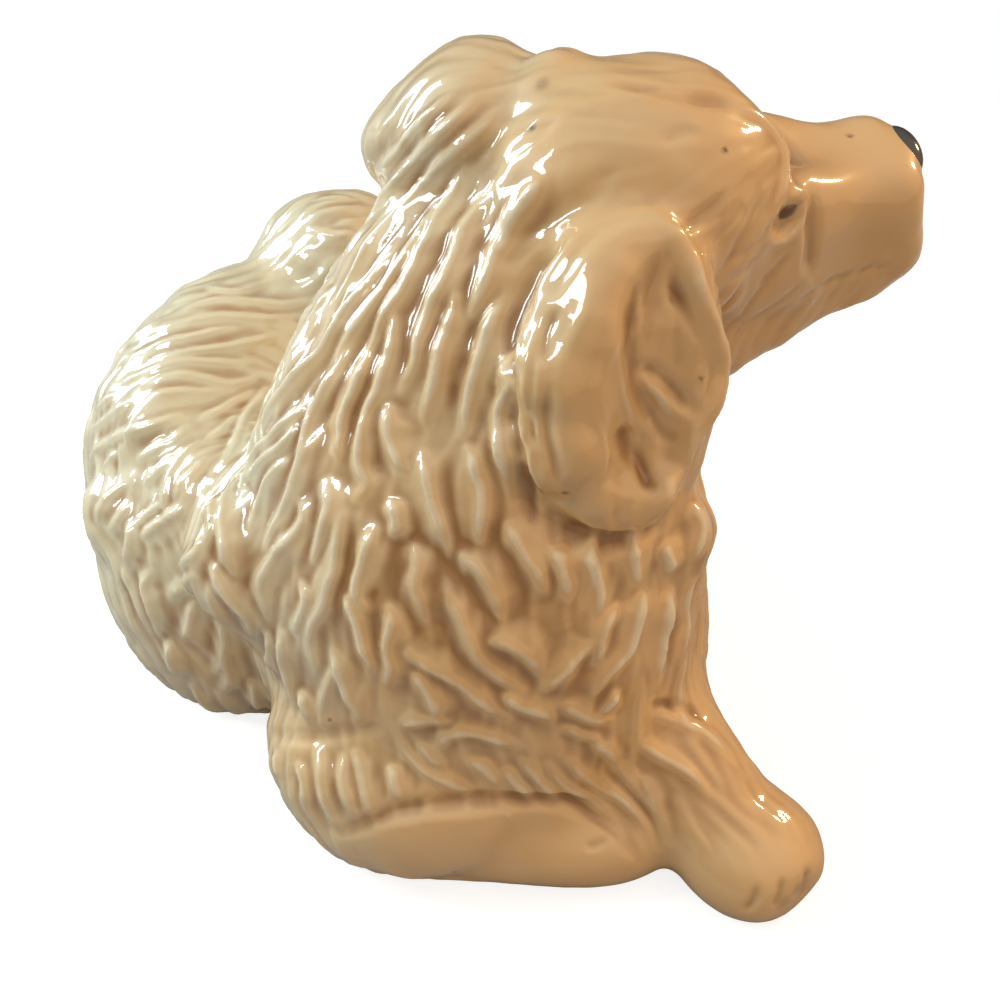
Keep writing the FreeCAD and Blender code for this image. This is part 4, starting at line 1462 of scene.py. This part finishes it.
def soft_window(name, place, aim, width, height, power, colour):
    """A soft box of light that faces the dog."""
    lamp = bpy.data.lights.new(name, "AREA")
    lamp.shape = "RECTANGLE"
    lamp.size = width
    lamp.size_y = height
    lamp.energy = power
    lamp.color = colour
    piece = placed(name, lamp)
    piece.location = place
    piece.rotation_euler = facing_euler(aim - place)


def pale_floor():
    """A pale floor that the camera sees white away from the dog."""
    material, tree, place = new_material("pale_floor")
    seen = node(tree, "LightPath", {}, {})[0]
    pale = node(tree, "BsdfDiffuse", {}, {"Color": FLOOR_TONE})[0]
    glow = node(tree, "Emission", {}, {"Color": WHITE, "Strength": FLOOR_GLOW})[0]
    both = node(tree, "AddShader", {}, {0: pale, 1: glow})[0]
    white = node(tree, "Emission", {}, {"Color": WHITE, "Strength": 1.0})[0]
    away = node(tree, "VectorMath", {"operation": "LENGTH"}, {0: place})[1]
    shown = node(tree, "MixShader", {}, {0: away * FLOOR_FADE - FLOOR_FADE * FADE_START, 1: both, 2: white})[0]
    mixed = node(tree, "MixShader", {}, {0: seen, 1: pale, 2: shown})[0]
    node(tree, "OutputMaterial", {}, {"Surface": mixed})
    return material


def room_light():
    """A dim room with a warm and a cool glow, which the camera sees white."""
    world = bpy.data.worlds.new("room")
    tree = empty_tree(world)
    seen = node(tree, "LightPath", {}, {})[0]
    way = node(tree, "TexCoord", {}, {})[0]
    height = node(tree, "SeparateXYZ", {}, {0: way})[2]
    rise = height.maths("MAXIMUM", height, 0.0)
    sky = mixed_tone(tree, rise * rise, HORIZON, ZENITH)
    for aim, colour in ROOM:
        facing = node(tree, "VectorMath", {"operation": "DOT_PRODUCT"}, {
            0: way, 1: tuple(Vector(aim).normalized())})[1]
        facing = facing.maths("MAXIMUM", facing, 0.0)
        sky = mixed_tone(tree, facing * facing, sky, colour, blend_type="ADD")
    dim = node(tree, "Background", {}, {"Color": sky, "Strength": 1.0})[0]
    white = node(tree, "Background", {}, {"Color": WHITE, "Strength": 1.0})[0]
    mixed = node(tree, "MixShader", {}, {0: seen, 1: dim, 2: white})[0]
    node(tree, "OutputWorld", {}, {"Surface": mixed})
    return world


class DOG_OT_stage(bpy.types.Operator):
    """Adds the floor, the lights and the camera"""
    bl_idname = "lying_dog.stage"
    bl_label = "Set the stage"

    def execute(self, context):
        scene = context.scene
        camera = bpy.data.cameras.new("camera")
        camera.sensor_width = SENSOR_WIDTH
        camera.lens = FOCAL_PIXELS / PHOTO_SIDE * SENSOR_WIDTH
        camera.clip_start = NEAREST_SEEN
        holder = placed("camera", camera)
        holder.location = camera_place()
        holder.rotation_euler = facing_euler(camera_axes()[2])
        scene.camera = holder
        scene.view_settings.view_transform = "Standard"
        floor = added(bpy.ops.mesh.primitive_plane_add, size=FLOOR_SIZE, location=(0, 0, -FLOOR_DROP))
        floor.name = "floor"
        floor.data.materials.append(pale_floor())
        scene.world = room_light()
        for name, way, distance, width, height, power, colour in LIGHTS:
            place = CAMERA_TARGET + Vector(way).normalized() * distance
            soft_window(name, place, CAMERA_TARGET, width, height, power, colour)
        return {"FINISHED"}


class DOG_PT_panel(bpy.types.Panel):
    """Lists the steps of the figurine"""
    bl_idname = "DOG_PT_panel"
    bl_label = "Lying Dog"
    bl_space_type = "VIEW_3D"
    bl_region_type = "UI"
    bl_category = "Lying Dog"

    def draw(self, context):
        for operator in OPERATORS:
            self.layout.operator(operator.bl_idname)


OPERATORS = (DOG_OT_clay, DOG_OT_coat, DOG_OT_face, DOG_OT_part, DOG_OT_glaze, DOG_OT_stage)
CLASSES = (LyingDogSizes,) + OPERATORS + (DOG_PT_panel,)


def register():
    for cls in CLASSES:
        bpy.utils.register_class(cls)
    bpy.types.Scene.lying_dog = bpy.props.PointerProperty(type=LyingDogSizes)


def unregister():
    del bpy.types.Scene.lying_dog
    for cls in reversed(CLASSES):
        bpy.utils.unregister_class(cls)


def main():
    """Models the dog step by step."""
    register()
    bpy.ops.lying_dog.clay()
    bpy.ops.lying_dog.coat()
    bpy.ops.lying_dog.face()
    bpy.ops.lying_dog.part()
    bpy.ops.lying_dog.glaze()
    bpy.ops.lying_dog.stage()


if __name__ == "__main__":
    main()
